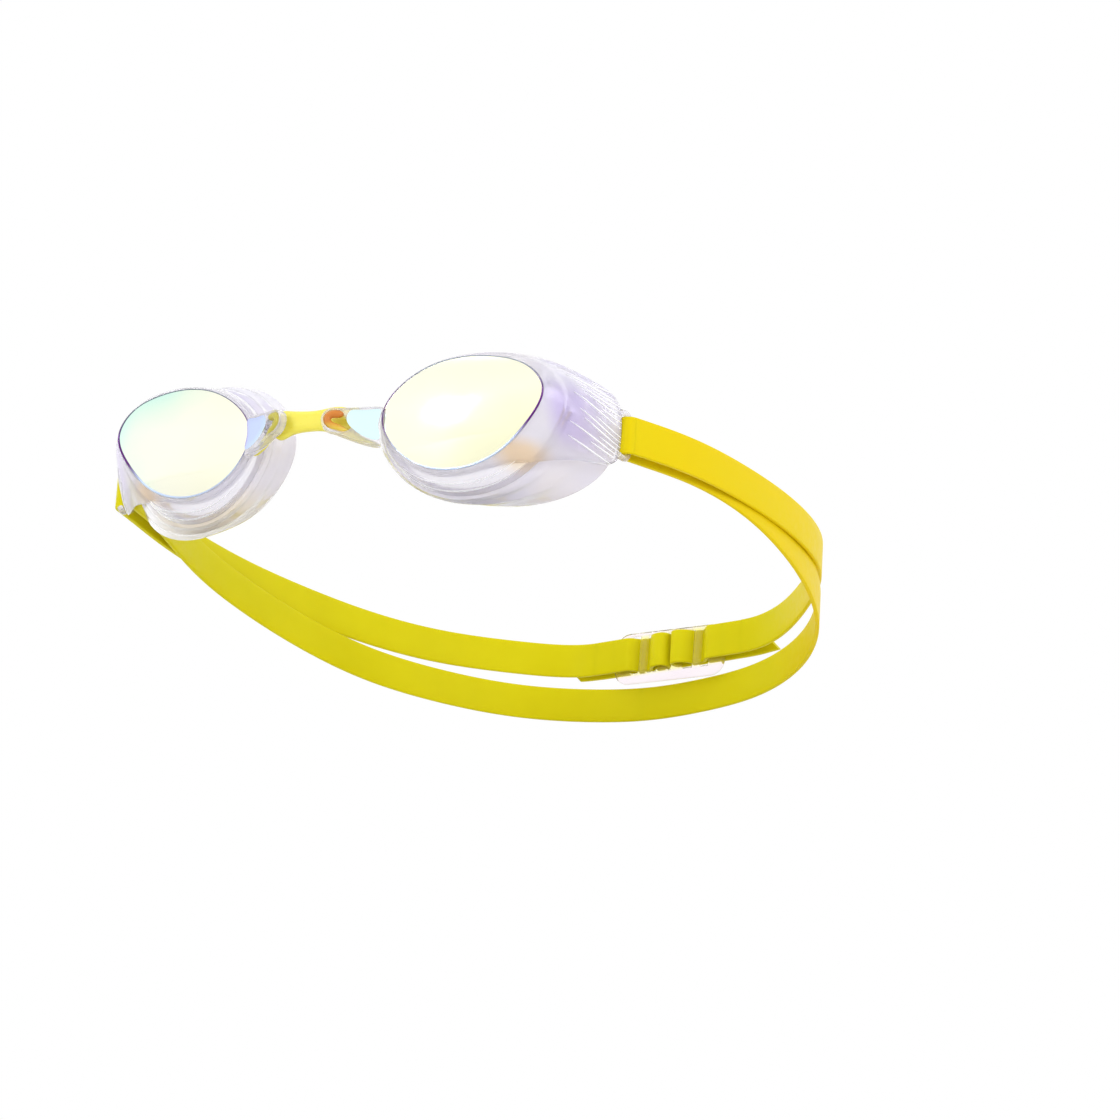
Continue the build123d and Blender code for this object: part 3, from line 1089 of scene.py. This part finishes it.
    def _nose_tab(self, skin: Skin) -> None:
        """Flared tab with a rounded eyelet, from the eyelet's rim to the lens edge."""
        plane = self.tab_plane()
        turns = np.linspace(0, 2 * math.pi, self.tab_points, endpoint=False)
        facing = np.column_stack([np.cos(turns), np.sin(turns)])
        point = np.clip(facing @ self.hole_corner, 0, 1)[:, None]
        hole = facing * np.array(self.hole) * (1 + self.hole_stretch * point**5)
        rim = np.array([self._tab_rim(cosine, sine) for cosine, sine in facing])
        half = self.tab_thick / 2
        rings = []
        # Share of the way from the hole to the rim, and place in the thickness: 1 front, -1 rear.
        profile = (
            (0.0, 0.0), (0.0, 0.75), (0.04, 0.93), (0.10, 1.0), (0.5, 1.0), (0.9, 1.0), (0.97, 0.9),
            (1.0, 0.7), (1.0, -0.7), (0.97, -0.9), (0.9, -1.0), (0.5, -1.0), (0.10, -1.0),
            (0.04, -0.93), (0.0, -0.75),
        )
        for share, level in profile:
            flat = hole * (1 - share) + rim * share
            rings.append(np.column_stack([flat, np.full(len(flat), -level * half)]))
        self._add(skin, plane.world(np.array(rings)), along=True, flip=True)

    def build_coat(self) -> bpy.types.Object:
        """Thin mirror film over the lens front."""
        skin = Skin()
        self._closed_sheet(skin, self._front(self.coat_size, self.coat_ahead), self.coat_thick)
        return self._piece(skin, "mirror_coat", self.finishes.coat)

    def build_edge(self) -> bpy.types.Object:
        """Fine dark line round the coat, thickest low on the temple side."""
        skin = Skin()
        _, edge = self._brim_places()
        flat = np.column_stack([edge * self.edge_size, np.full(len(edge), -self.edge_ahead)])
        path = self.lens.world(flat)
        # 1 where the edge is low on the temple side, down to 0 on the upper and nose side.
        low = np.clip((edge[:, 0] / 19 - edge[:, 1] / 14) / 1.4, 0, 1)
        girth = self.edge_girth[0] + self.edge_girth[1] * low
        rings = tube(np.vstack([path, path[:1]]), np.append(girth, girth[0]), sides=8)
        self._add(skin, rings[:-1], along=True)
        return self._piece(skin, "coat_edge", self.finishes.edge)

    def build_tab_coat(self) -> bpy.types.Object:
        """Mirror film on the flat front of the nose tab."""
        plane = self.tab_plane()
        skin = Skin()
        outline = Curve(
            [
                (2.9, 0.0), (4.6, -2.2), (7.0, -3.7), (10.6, -4.2), (10.2, -0.6),
                (10.5, 3.0), (7.0, 2.7), (3.4, 2.1),
            ],
            closed=True,
        )
        loop = outline.at(np.linspace(0, outline.length, self.film_points, endpoint=False))
        middle = loop.mean(axis=0)
        front = -(self.tab_thick / 2 + self.film_ahead)
        rear = front + self.film_thick
        rings = []
        profile = (
            (0.02, front), (0.5, front), (0.94, front), (1.0, front + 0.04), (1.0, rear), (0.02, rear),
        )
        for share, level in profile:
            flat = middle + (loop - middle) * share
            rings.append(np.column_stack([flat, np.full(len(flat), level)]))
        self._add(skin, plane.world(np.array(rings)), caps=True)
        return self._piece(skin, "tab_coat", self.finishes.film)

    def build_wing_lines_and_highlights(self) -> bpy.types.Object:
        """Fine raised lines along the wing, which draw together at the slot, and two white beads below
        the lens that are painted highlights.
        """
        shoulder = self._shoulder()
        brim, _ = self._brim_places()
        skin = Skin()
        temple = np.where(brim[:, 0] > self.wing_from)[0]
        picks = np.linspace(temple[0] + 1, temple[-1] - 1, self.line_count).round().astype(int)
        for number, column in enumerate(picks):
            start = self.line_rings[number % len(self.line_rings)]
            line = shoulder[start:, column] - np.array([0.0, 0.0, self.line_sink])
            path = self.lens.world(Curve(line.tolist()).even(self.line_points))
            taper = self.line_girth * np.sin(np.linspace(0.25, math.pi - 0.4, self.line_points))
            self._add(skin, tube(path, taper, sides=8), caps=True)
        places = np.arange(len(brim)) / self.per_span
        begins, ends = self.low_highlight_span
        low = np.where((places > begins) & (places < ends))[0]
        # Painted highlights: two white beads along the cup wall below the lens.
        for share, out in self.low_highlights:
            path = self._between(share, out)[low]
            taper = self.low_highlight_girth * np.sin(np.linspace(0.1, math.pi - 0.1, len(low)))
            self._add(skin, tube(path, taper, sides=8), caps=True)
        return self._piece(skin, "wing_lines_and_highlights", self.finishes.line)

    def build_gasket(self) -> bpy.types.Object:
        """Flared silicone seal with two soft ridges and a rolled lip."""
        near = (self.seat, self._spread(self.outline) * self.seat_scale)
        far = (self.face, self._spread(self.face_outline))
        # Share of the way to the face, and how far it stands out.
        steps = (
            (0.0, 0.1), (0.03, 0.9), (0.14, 1.1), (0.20, 0.7), (0.34, 0.5), (0.42, 1.0), (0.50, 1.0),
            (0.58, 0.5), (0.74, 0.3), (0.88, 0.2), (0.96, 0.05), (1.0, -0.5), (1.0, -1.6), (0.95, -2.6),
            (0.88, -2.9), (0.80, -2.4), (0.6, -1.7), (0.3, -1.5), (0.0, -1.4),
        )
        rings = [self._ring(near, far, share, out) for share, out in steps]
        skin = Skin()
        self._add(skin, np.array(rings), along=True)
        gasket = self.finishes.gasket
        return self._piece(skin, "gasket_seal", gasket, ["gasket"])

    def build(self) -> None:
        """Make every piece of this eyepiece."""
        self.build_shell()
        self.build_coat()
        self.build_edge()
        self.build_tab_coat()
        self.build_wing_lines_and_highlights()
        self.build_gasket()


# --------------------------------------------------------------------------- nose bridge


@dataclass
class NoseBridge:
    """Waisted band behind the tabs, with a blunt hook up through each eyelet."""

    finishes: Finishes
    # Place across, then backward, upward, half height and half thickness.
    stations: tuple[tuple[float, float, float, float, float], ...] = (
        (-10.7, 2.2, -0.4, 1.6, 0.75), (-9.4, 1.9, -0.3, 2.9, 1.0), (-7.6, 1.6, -0.3, 3.5, 1.1),
        (-5.6, 1.4, -0.1, 3.0, 1.2), (-3.0, 1.4, 0.0, 2.55, 1.2), (0.0, 1.4, -0.1, 2.4, 1.2),
        (3.0, 1.4, -0.2, 2.6, 1.2), (5.6, 1.5, -0.5, 3.2, 1.2), (8.0, 1.8, -1.0, 3.6, 1.1),
        (10.4, 2.3, -1.6, 3.2, 1.0), (12.4, 2.8, -2.3, 1.8, 0.75),
    )
    band_rings: int = 61
    section_points: int = 28
    # Below 1 the band's section is squarer than an oval.
    squareness: float = 0.62
    # Line of a hook on its tab's plane: outward, upward and backward from the eyelet.
    hook: Triples = (
        (10.6, -5.0, 1.7), (7.6, -4.2, 1.6), (4.8, -3.2, 1.2), (2.4, -2.3, 0.2), (0.5, -1.75, -0.45),
        (-1.0, -1.15, -0.55), (-1.6, 0.0, -0.55), (-0.9, 1.1, -0.55), (0.5, 1.4, -0.55),
        (2.2, 1.5, -0.5),
    )
    # Share of the hook's length, and its radius there.
    hook_radius: Pairs = (
        (0.0, 0.3), (0.06, 0.7), (0.4, 0.8), (0.92, 0.95), (0.97, 0.75), (1.0, 0.15),
    )
    hook_rings: int = 44

    def build(self) -> bpy.types.Object:
        """Make the bridge as one piece with its two hooks."""
        skin = Skin()
        line = Curve([s[1:] for s in self.stations], stations=[s[0] for s in self.stations])
        places = np.linspace(self.stations[0][0], self.stations[-1][0], self.band_rings)
        turns = np.linspace(0, 2 * math.pi, self.section_points, endpoint=False)
        section = np.column_stack([np.cos(turns), np.sin(turns)])
        section = np.sign(section) * np.abs(section) ** self.squareness
        rings = []
        for x, (back, up, tall, thick) in zip(places, line.at(places)):
            flat = section * [thick, tall] + [back, up]
            rings.append(np.column_stack([np.full(len(flat), x), flat]))
        skin.loft(np.array(rings), caps=True)
        for side in Side:
            skin.loft(self._hook(side), caps=True, flip=side is Side.RIGHT)
        piece = skin.build("nose_band")
        return dress(piece, self.finishes.bridge, ["nose_bridge"], "bridge")

    def _hook(self, side: Side) -> np.ndarray:
        """Rings of the hook that comes forward through one eyelet.

        Args:
            side: Which eyelet it goes through.

        Returns:
            The rings, from the band to the hook's blunt end.
        """
        plane = Eyepiece(side, self.finishes).tab_plane()
        path = plane.world(Curve(self.hook).even(self.hook_rings))
        radius = np.interp(np.linspace(0, 1, self.hook_rings), *zip(*self.hook_radius))
        return tube(path, radius, sides=16) * side.mirror


# --------------------------------------------------------------------------- strap and buckle


@dataclass
class Strip:
    """The silicone strip's section, and how it is laid along a line seen from above."""

    width: float = 9.0
    thick: float = 1.1
    corner: float = 0.32
    # How far to each side of a place the line's direction is measured.
    probe: float = 0.05

    def section(self) -> np.ndarray:
        """Points round the section, as distances sideways and upward."""
        side, up = self.thick / 2, self.width / 2
        corners = round_box(-side, side, -up, up, self.corner, steps=4)
        heights = np.array([0.5, 0.0, -0.5]) * (up - self.corner)
        left = np.column_stack([np.full(3, -side), heights])
        return np.vstack([*corners[:2], left, *corners[2:], -left])

    def lay(self, plan: Curve, level: Level, step: float, cut: float = 0.0) -> np.ndarray:
        """Rings of a stretch of strap that stands upright along a line.

        Args:
            plan: The line seen from above.
            level: Height of the strip's middle for points of the line.
            step: Distance between rings.
            cut: How much longer its top edge is than its bottom edge.

        Returns:
            The rings, from the line's start to its end.
        """
        section = self.section()
        reach = plan.length + cut * section[:, 1] / self.width
        count = max(6, int(plan.length / step))
        rings = []
        for share in np.linspace(0, 1, count):
            places = np.minimum(share * reach, plan.length)
            beyond = share * reach - places
            after = plan.at(np.minimum(places + self.probe, plan.length))
            before = plan.at(np.maximum(places - self.probe, 0))
            ahead = unit(after - before)
            spot = plan.at(places) + ahead * beyond[:, None]
            aside = np.column_stack([ahead[:, 1], -ahead[:, 0]])
            flat = spot + aside * section[:, :1]
            rings.append(np.column_stack([flat, level(spot) + section[:, 1]]))
        return np.array(rings)


@dataclass
class Strap:
    """One strip, folded round both slot bars and threaded through the buckle."""

    finishes: Finishes
    strip: Strip = field(default_factory=Strip)
    bar: Point = SLOT_BAR
    # Radius of the fold's middle, where its legs end, and how far the upper one laps the fold.
    fold_radius: float = 2.2
    fold_points: int = 14
    leg_points: int = 5
    point_gap: float = 1.2
    leg_start: float = 6.4
    seam_lap: float = 0.15
    leg_angle: dict[Side, float] = field(default_factory=lambda: {Side.LEFT: 26.0, Side.RIGHT: 6.0})
    # Distances behind the bar between which a band goes over from the fold to its own swing.
    bend_from: float = 1.5
    bend_to: float = 26.0
    # The bands' lines seen from above, from the fold to the buckle or to the middle of the back.
    band_lines: dict[tuple[Side, Place], Pairs] = field(
        default_factory=lambda: {
            (Side.LEFT, Place.UPPER): (
                (75.9, 46.0), (80.4, 66.0), (82.3, 87.0), (81.0, 107.5), (75.1, 128.0),
                (66.0, 144.4), (55.6, 158.3), (45.0, 168.6),
            ),
            (Side.RIGHT, Place.UPPER): (
                (-71.4, 52.0), (-72.4, 75.0), (-70.8, 98.0), (-65.8, 122.0),
                (-58.2, 143.6), (-47.0, 161.4), (-31.6, 174.8),
            ),
            (Side.LEFT, Place.LOWER): (
                (73.2, 48.6), (79.1, 67.0), (81.1, 87.0), (79.8, 107.6), (75.0, 127.6),
                (65.2, 147.4), (52.6, 162.8), (37.2, 174.4), (19.6, 181.2),
            ),
            (Side.RIGHT, Place.LOWER): (
                (-67.8, 52.0), (-70.8, 75.0), (-69.2, 97.6), (-64.3, 121.4),
                (-56.6, 142.6), (-45.0, 160.0), (-30.0, 174.0), (-14.0, 181.4),
            ),
        }
    )
    lower_middle: tuple[float, float] = (2.0, 184.0)
    # Place behind the face, and height of the band's middle there.
    upper_drop: dict[Side, Pairs] = field(
        default_factory=lambda: {
            Side.LEFT: (
                SLOT_BAR[1:], (70.0, -1.0), (110.0, -0.7), (145.0, 0.0), (172.0, -1.85), (192.0, -2.0),
            ),
            Side.RIGHT: (SLOT_BAR[1:], (70.0, -0.95), (130.0, -1.35), (168.0, -1.95), (192.0, -2.0)),
        }
    )
    lower_drop: Pairs = (
        SLOT_BAR[1:], (44.0, -1.1), (90.0, -5.95), (140.0, -12.0), (192.0, -15.5),
    )
    # Where the upper bands end, outward from the buckle's middle, how far the hidden end goes
    # beyond that, and how far it laps the stretch beside the buckle.
    run_end: float = 23.4
    hidden_lap: float = 5.6
    lap_overlap: float = 0.4
    lap_strip: Strip = field(default_factory=lambda: Strip(8.7, 0.7, 0.2))
    weave_offset: float = 1.3
    # Line of the strip inside half a buckle: outward from the middle, then away from the head.
    weave: Pairs = (
        (17.5, -1.3), (14.6, -1.34), (12.5, -1.05), (11.3, 0.1), (10.3, 1.1), (8.65, 1.32),
        (7.0, 1.1), (6.0, 0.0), (5.0, -1.1), (3.3, -1.75), (1.7, -1.5), (0.98, -0.2), (1.0, 1.4),
        (1.5, 2.35), (2.6, 2.6),
    )
    tail: Pairs = ((2.6, 2.6), (12.0, 2.75), (20.0, 2.6), (28.0, 2.0))
    # Where a tail's top and bottom edge end, how it slants back, and where it starts to swing.
    tail_ends: dict[Side, tuple[float, float]] = field(
        default_factory=lambda: {Side.LEFT: (25.0, 34.5), Side.RIGHT: (38.5, 30.0)}
    )
    tail_slant: float = 0.22
    tail_bend: tuple[float, float] = (2.6, 10.6)

    def _out(self, side: Side) -> tuple[np.ndarray, np.ndarray]:
        """Direction of the fold's legs, and direction away from the head, on a side."""
        angle = math.radians(self.leg_angle[side])
        along = np.array([side.value * math.sin(angle), math.cos(angle)])
        away = np.array([side.value * math.cos(angle), -math.sin(angle)])
        return along, away

    def _bar(self, side: Side) -> np.ndarray:
        """The slot bar's middle, seen from above."""
        return np.array([side.value * self.bar[0], self.bar[1]])

    def _from_buckle(self, points: Sequence[Sequence[float]], side: Side) -> np.ndarray:
        """Points given outward and away from the buckle's middle, seen from above."""
        angle = math.radians(BUCKLE_ANGLE)
        out = np.array([math.cos(angle), math.sin(angle)])
        away = np.array([-math.sin(angle), math.cos(angle)])
        rows = np.array(points, float) * [side.value, 1]
        return np.array(BUCKLE_CENTRE[:2]) + rows @ np.array([out, away])

    def _from_run(self, start: float, end: float, side: Side) -> Curve:
        """Straight line beside the buckle, between two distances outward from its middle."""
        ends = [(start, -self.weave_offset), (end, -self.weave_offset)]
        return Curve(self._from_buckle(ends, side).tolist())

    def _level(self, side: Side, place: Place) -> Level:
        """Height of a band's middle, for points seen from above."""
        drop = self.upper_drop[side] if place is Place.UPPER else self.lower_drop
        line = Curve([(z,) for _, z in drop], stations=[y for y, _ in drop])
        first = drop[0][0]
        return lambda spots: line.at(np.maximum(spots[:, 1], first))[:, 0]

    def build_band(self, side: Side, place: Place) -> bpy.types.Object:
        """One band from its slot bar to the buckle or to the middle of the back.

        The lower band starts with the fold round the bar. Each band bends where it leaves the fold.

        Args:
            side: Which end of the strip.
            place: Upper or lower band.

        Returns:
            The band.
        """
        along, away = self._out(side)
        bar = self._bar(side)
        leg = bar + away * (place.value * self.fold_radius)
        points = [tuple(leg + along * self.leg_start), *self.band_lines[side, place]]
        if place is Place.UPPER:
            run = self._from_buckle([(self.run_end, -self.weave_offset)], side)[0]
            inward = self._from_buckle([(0.0, 0.0), (1.0, 0.0)], side)
            points.append(tuple(run))
            heading = inward[0] - inward[1]
        else:
            points.append(self.lower_middle)
            heading = np.array([-side.value, 0.0])
        band = Curve(points, start=along, end=heading)
        first = -self.seam_lap if place is Place.UPPER else 0.0
        lead = [leg + along * d for d in np.linspace(first, self.leg_start, self.leg_points)[:-1]]
        if place is Place.LOWER:
            turns = np.linspace(0.0, math.pi, self.fold_points)[:-1]
            circle = [away * math.cos(turn) - along * math.sin(turn) for turn in turns]
            lead = [bar + self.fold_radius * spot for spot in circle] + lead
        fine = np.vstack([np.array(lead), band.even(int(band.length / self.point_gap))])
        plan = Curve(fine.tolist())
        skin = Skin()
        skin.loft(self.strip.lay(plan, self._level(side, place), step=1.0), caps=True)
        nodes = [f"{place.word}_band_{side.word}"]
        if place is Place.LOWER:
            nodes.append(f"strap_fold_{side.word}")
        piece = skin.build(f"strap_{place.word}_{side.word}")
        dress(piece, self.finishes.strap, nodes)
        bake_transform(piece)
        return piece

    def _flat_level(self, spots: np.ndarray) -> np.ndarray:
        """Height of the strip's middle at the buckle."""
        return np.full(len(spots), BUCKLE_CENTRE[2])

    def build_run(self, side: Side) -> bpy.types.Object:
        """Short stretch beside the buckle, which lengthens or shortens as the buckle slides.

        The right one rides on the buckle, and a thinner end inside the band covers its travel.

        Args:
            side: Which side of the buckle.

        Returns:
            The stretch.
        """
        skin = Skin()
        plan = self._from_run(self.run_end, BUCKLE_HALF, side)
        skin.loft(self.strip.lay(plan, self._flat_level, step=0.5), caps=True)
        if side is Side.RIGHT:
            plan = self._from_run(self.run_end + self.hidden_lap, self.run_end - self.lap_overlap, side)
            skin.loft(self.lap_strip.lay(plan, self._flat_level, step=0.6), caps=True)
        piece = skin.build(f"strap_by_buckle_{side.word}")
        dress(piece, self.finishes.strap, [f"strap_run_{side.word}"])
        if side is Side.LEFT:
            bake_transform(piece)
        else:
            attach(piece, "buckle")
        return piece

    def build_weave(self, side: Side) -> bpy.types.Object:
        """The strip where it goes over and under the bars of half the buckle."""
        skin = Skin()
        plan = Curve(self._from_buckle(self.weave, side).tolist())
        skin.loft(self.strip.lay(plan, self._flat_level, step=0.4), caps=True)
        piece = skin.build(f"strap_weave_run_{side.word}")
        return dress(piece, self.finishes.strap, [f"strap_weave_{side.word}"], "buckle")

    def build_tail(self, side: Side) -> bpy.types.Object:
        """Free end of the strip behind the buckle, cut on the slant."""
        skin = Skin()
        top, bottom = self.tail_ends[side]
        middle = (top + bottom) / 2
        last, away = self.tail[-1]
        points = [*self.tail, (middle, away - (middle - last) * self.tail_slant)]
        plan = Curve(self._from_buckle(points, side).tolist())
        skin.loft(self.strip.lay(plan, self._flat_level, step=0.8, cut=top - bottom), caps=True)
        nodes = [f"strap_tail_{side.word}", f"strap_link_{side.word}"]
        piece = skin.build(f"strap_free_end_{side.word}")
        dress(piece, self.finishes.strap, nodes)
        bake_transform(piece)
        return piece

    def build(self) -> None:
        """Make every stretch of the strap."""
        for side in Side:
            for place in Place:
                self.build_band(side, place)
            self.build_run(side)
            self.build_weave(side)
            self.build_tail(side)


@dataclass
class Buckle:
    """Flat clear plate with a narrow middle slot and two slots on each side."""

    finishes: Finishes
    # Turn in its own plane in degrees, then the plate's and the slots' sizes from its middle.
    lean: float = -2.0
    bottom: float = -8.4
    top: float = 5.5
    corner: float = 4.2
    thick: float = 1.3
    soften: float = 0.3
    slot_bottom: float = -5.6
    slot_top: float = 4.7
    slot_corner: float = 0.55
    slots: Pairs = (
        (-12.7, -9.7), (-7.6, -3.9), (-0.7, 0.7), (3.9, 7.6), (9.7, 12.7),
    )

    def build(self) -> bpy.types.Object:
        """Cut the plate from a filled outline, round its edges and stand it behind the head."""
        drawing = bpy.data.curves.new("buckle outline", "CURVE")
        drawing.dimensions = "2D"
        drawing.fill_mode = "BOTH"
        drawing.extrude = self.thick / 2 - self.soften
        drawing.bevel_depth = self.soften
        drawing.bevel_resolution = 2
        drawing.offset = -self.soften
        boxes = [(-BUCKLE_HALF, BUCKLE_HALF, self.bottom, self.top, self.corner)]
        for left, right in self.slots:
            boxes.append((left, right, self.slot_bottom, self.slot_top, self.slot_corner))
        for box in boxes:
            loop = np.vstack(round_box(*box, steps=7))
            line = drawing.splines.new("POLY")
            line.points.add(len(loop) - 1)
            # Each point of a flat outline is across, up, zero and its weight, which is one.
            rows = np.column_stack([loop, np.zeros(len(loop)), np.ones(len(loop))])
            line.points.foreach_set("co", rows.ravel())
            line.use_cyclic_u = True
        stand_in = bpy.data.objects.new("buckle outline", drawing)
        mesh = bpy.data.meshes.new_from_object(stand_in)
        mesh.name = "buckle_plate"
        bpy.data.objects.remove(stand_in)
        bpy.data.curves.remove(drawing)
        upright = Matrix.Rotation(math.pi / 2, 4, "X")
        turn = Matrix.Rotation(math.radians(BUCKLE_ANGLE), 4, "Z") @ upright
        turn = turn @ Matrix.Rotation(math.radians(self.lean), 4, "Z")
        mesh.transform(Matrix.Scale(MM, 4) @ Matrix.Translation(BUCKLE_CENTRE) @ turn)
        shade(mesh)
        mesh.materials.clear()
        piece = put("buckle_plate", mesh)
        return dress(piece, self.finishes.buckle, ["buckle"], "buckle")


# --------------------------------------------------------------------------- studio


@dataclass(frozen=True)
class Lamp:
    """One soft square lamp that points at the goggles, with its place and side in metres."""

    name: str
    spot: Point
    size: float
    watts: float

    def hang(self) -> None:
        """Put the lamp in its place."""
        data = bpy.data.lights.new(self.name, "AREA")
        data.size = self.size
        data.energy = self.watts
        lamp = put(self.name, data)
        middle = (CAD_BOX[0] + CAD_BOX[1]) / 2
        lamp.location = self.spot
        lamp.rotation_mode = "QUATERNION"
        lamp.rotation_quaternion = (middle - Vector(self.spot)).to_track_quat("-Z", "Y")


@dataclass
class Studio:
    """Pale floor, soft light all round and the camera."""

    # The camera's angles in degrees, its distance from the origin, its lens, and where it aims.
    azimuth: float = 30.0
    elevation: float = -20.0
    lean: float = 4.54
    distance: float = 1011.2
    focal: float = 140.6
    sensor: float = 36.0
    aim_right: float = 58.0
    aim_down: float = 32.56
    # The floor's side in metres, and how far it lies below the goggles.
    floor_size: float = 6.0
    floor_gap: float = 0.15
    floor_dark: Colour = (0.86, 0.86, 0.865)
    floor_light: Colour = (0.88, 0.88, 0.88)
    # Height in the surroundings, from 0 straight down to 1 straight up, and the grey there.
    sky_greys: Pairs = (
        (0.0, 0.95), (0.45, 1.0), (0.65, 1.02), (0.8, 0.92), (1.0, 0.85),
    )
    sky_strength: float = 1.06
    lamps: tuple[Lamp, ...] = (
        Lamp("top lamp", (-0.3, -0.5, 1.0), 0.8, 1.2),
        Lamp("side lamp", (1.1, -0.3, 0.15), 0.7, 2.8),
        Lamp("low lamp", (-0.7, -0.5, -0.6), 0.6, 1.6),
        Lamp("small lamp", (-0.22, -0.93, 0.22), 0.12, 1.0),
    )

    def camera(self) -> None:
        """Place the camera ahead of the goggles and below them, on the wearer's left."""
        a, e, lean = map(math.radians, (self.azimuth, self.elevation, self.lean))
        back = Vector((math.sin(a) * math.cos(e), -math.cos(a) * math.cos(e), math.sin(e)))
        level = Vector((math.cos(a), math.sin(a), 0.0))
        upright = back.cross(level)
        right = level * math.cos(lean) + upright * math.sin(lean)
        up = upright * math.cos(lean) - level * math.sin(lean)
        spot = back * self.distance * MM
        aim = (right * self.aim_right - up * self.aim_down) * MM
        ahead = (aim - spot).normalized()
        across = (right - ahead * right.dot(ahead)).normalized()
        data = bpy.data.cameras.new("camera")
        data.lens = self.focal
        data.sensor_width = self.sensor
        data.clip_start, data.clip_end = 0.05, 50.0
        camera = put("camera", data)
        turn = Matrix((across, across.cross(ahead), -ahead)).transposed()
        camera.matrix_world = Matrix.Translation(spot) @ turn.to_4x4()
        bpy.context.scene.camera = camera

    def floor(self) -> bpy.types.Object:
        """Pale floor just under the goggles, which can't be seen from below."""
        low = CAD_BOX[0].z - self.floor_gap * MM
        half = self.floor_size / 2
        mesh = bpy.data.meshes.new("floor")
        square = ((-half, -half), (half, -half), (half, half), (-half, half))
        mesh.from_pydata([(x, y, low) for x, y in square], [], [(0, 1, 2, 3)])
        n = Nodes("floor paint")
        n.set(Roughness=0.7)
        n.paint(n.ramp(n.noise(300.0), [(NOISE_LOW, self.floor_dark), (NOISE_HIGH, self.floor_light)]))
        clear = n.add("BsdfTransparent").outputs["BSDF"]
        below = n.add("NewGeometry").outputs["Backfacing"]
        mixed = n.mix_shaders(below, n.shader.outputs["BSDF"], clear)
        n.link(mixed, n.output.inputs["Surface"])
        mesh.materials.append(n.material)
        floor = put("floor", mesh)
        return floor

    def light(self) -> None:
        """White surroundings with softly darker bands, and four soft lamps."""
        world = bpy.data.worlds.new("studio")
        bpy.context.scene.world = world
        world.use_nodes = True
        sky = Graph(world.node_tree)
        output = sky.add("OutputWorld")
        greys = [(place, (grey, grey, grey)) for place, grey in self.sky_greys]
        bands = sky.ramp(sky.span(sky.axes("Generated")["Z"], -1.0, 1.0), greys)
        soft = sky.add("Background", Strength=self.sky_strength)
        sky.link(bands, soft.inputs["Color"])
        plain = sky.add("Background", Color=(1.0, 1.0, 1.0, 1.0), Strength=1.0)
        seen = sky.add("LightPath").outputs["Is Camera Ray"]
        mixed = sky.mix_shaders(seen, soft.outputs["Background"], plain.outputs["Background"])
        sky.link(mixed, output.inputs["Surface"])
        for lamp in self.lamps:
            lamp.hang()

    def build(self) -> None:
        """Set up the camera, the floor and the light."""
        self.camera()
        self.floor()
        self.light()
        bpy.context.scene.view_settings.view_transform = "Standard"


def main() -> None:
    """Build the studio and the goggles."""
    logging.basicConfig(level=logging.INFO, format="%(name)s %(message)s")
    Studio().build()
    finishes = Finishes()
    for side in Side:
        Eyepiece(side, finishes).build()
    NoseBridge(finishes).build()
    Strap(finishes).build()
    Buckle(finishes).build()


if __name__ == "__main__":
    main()
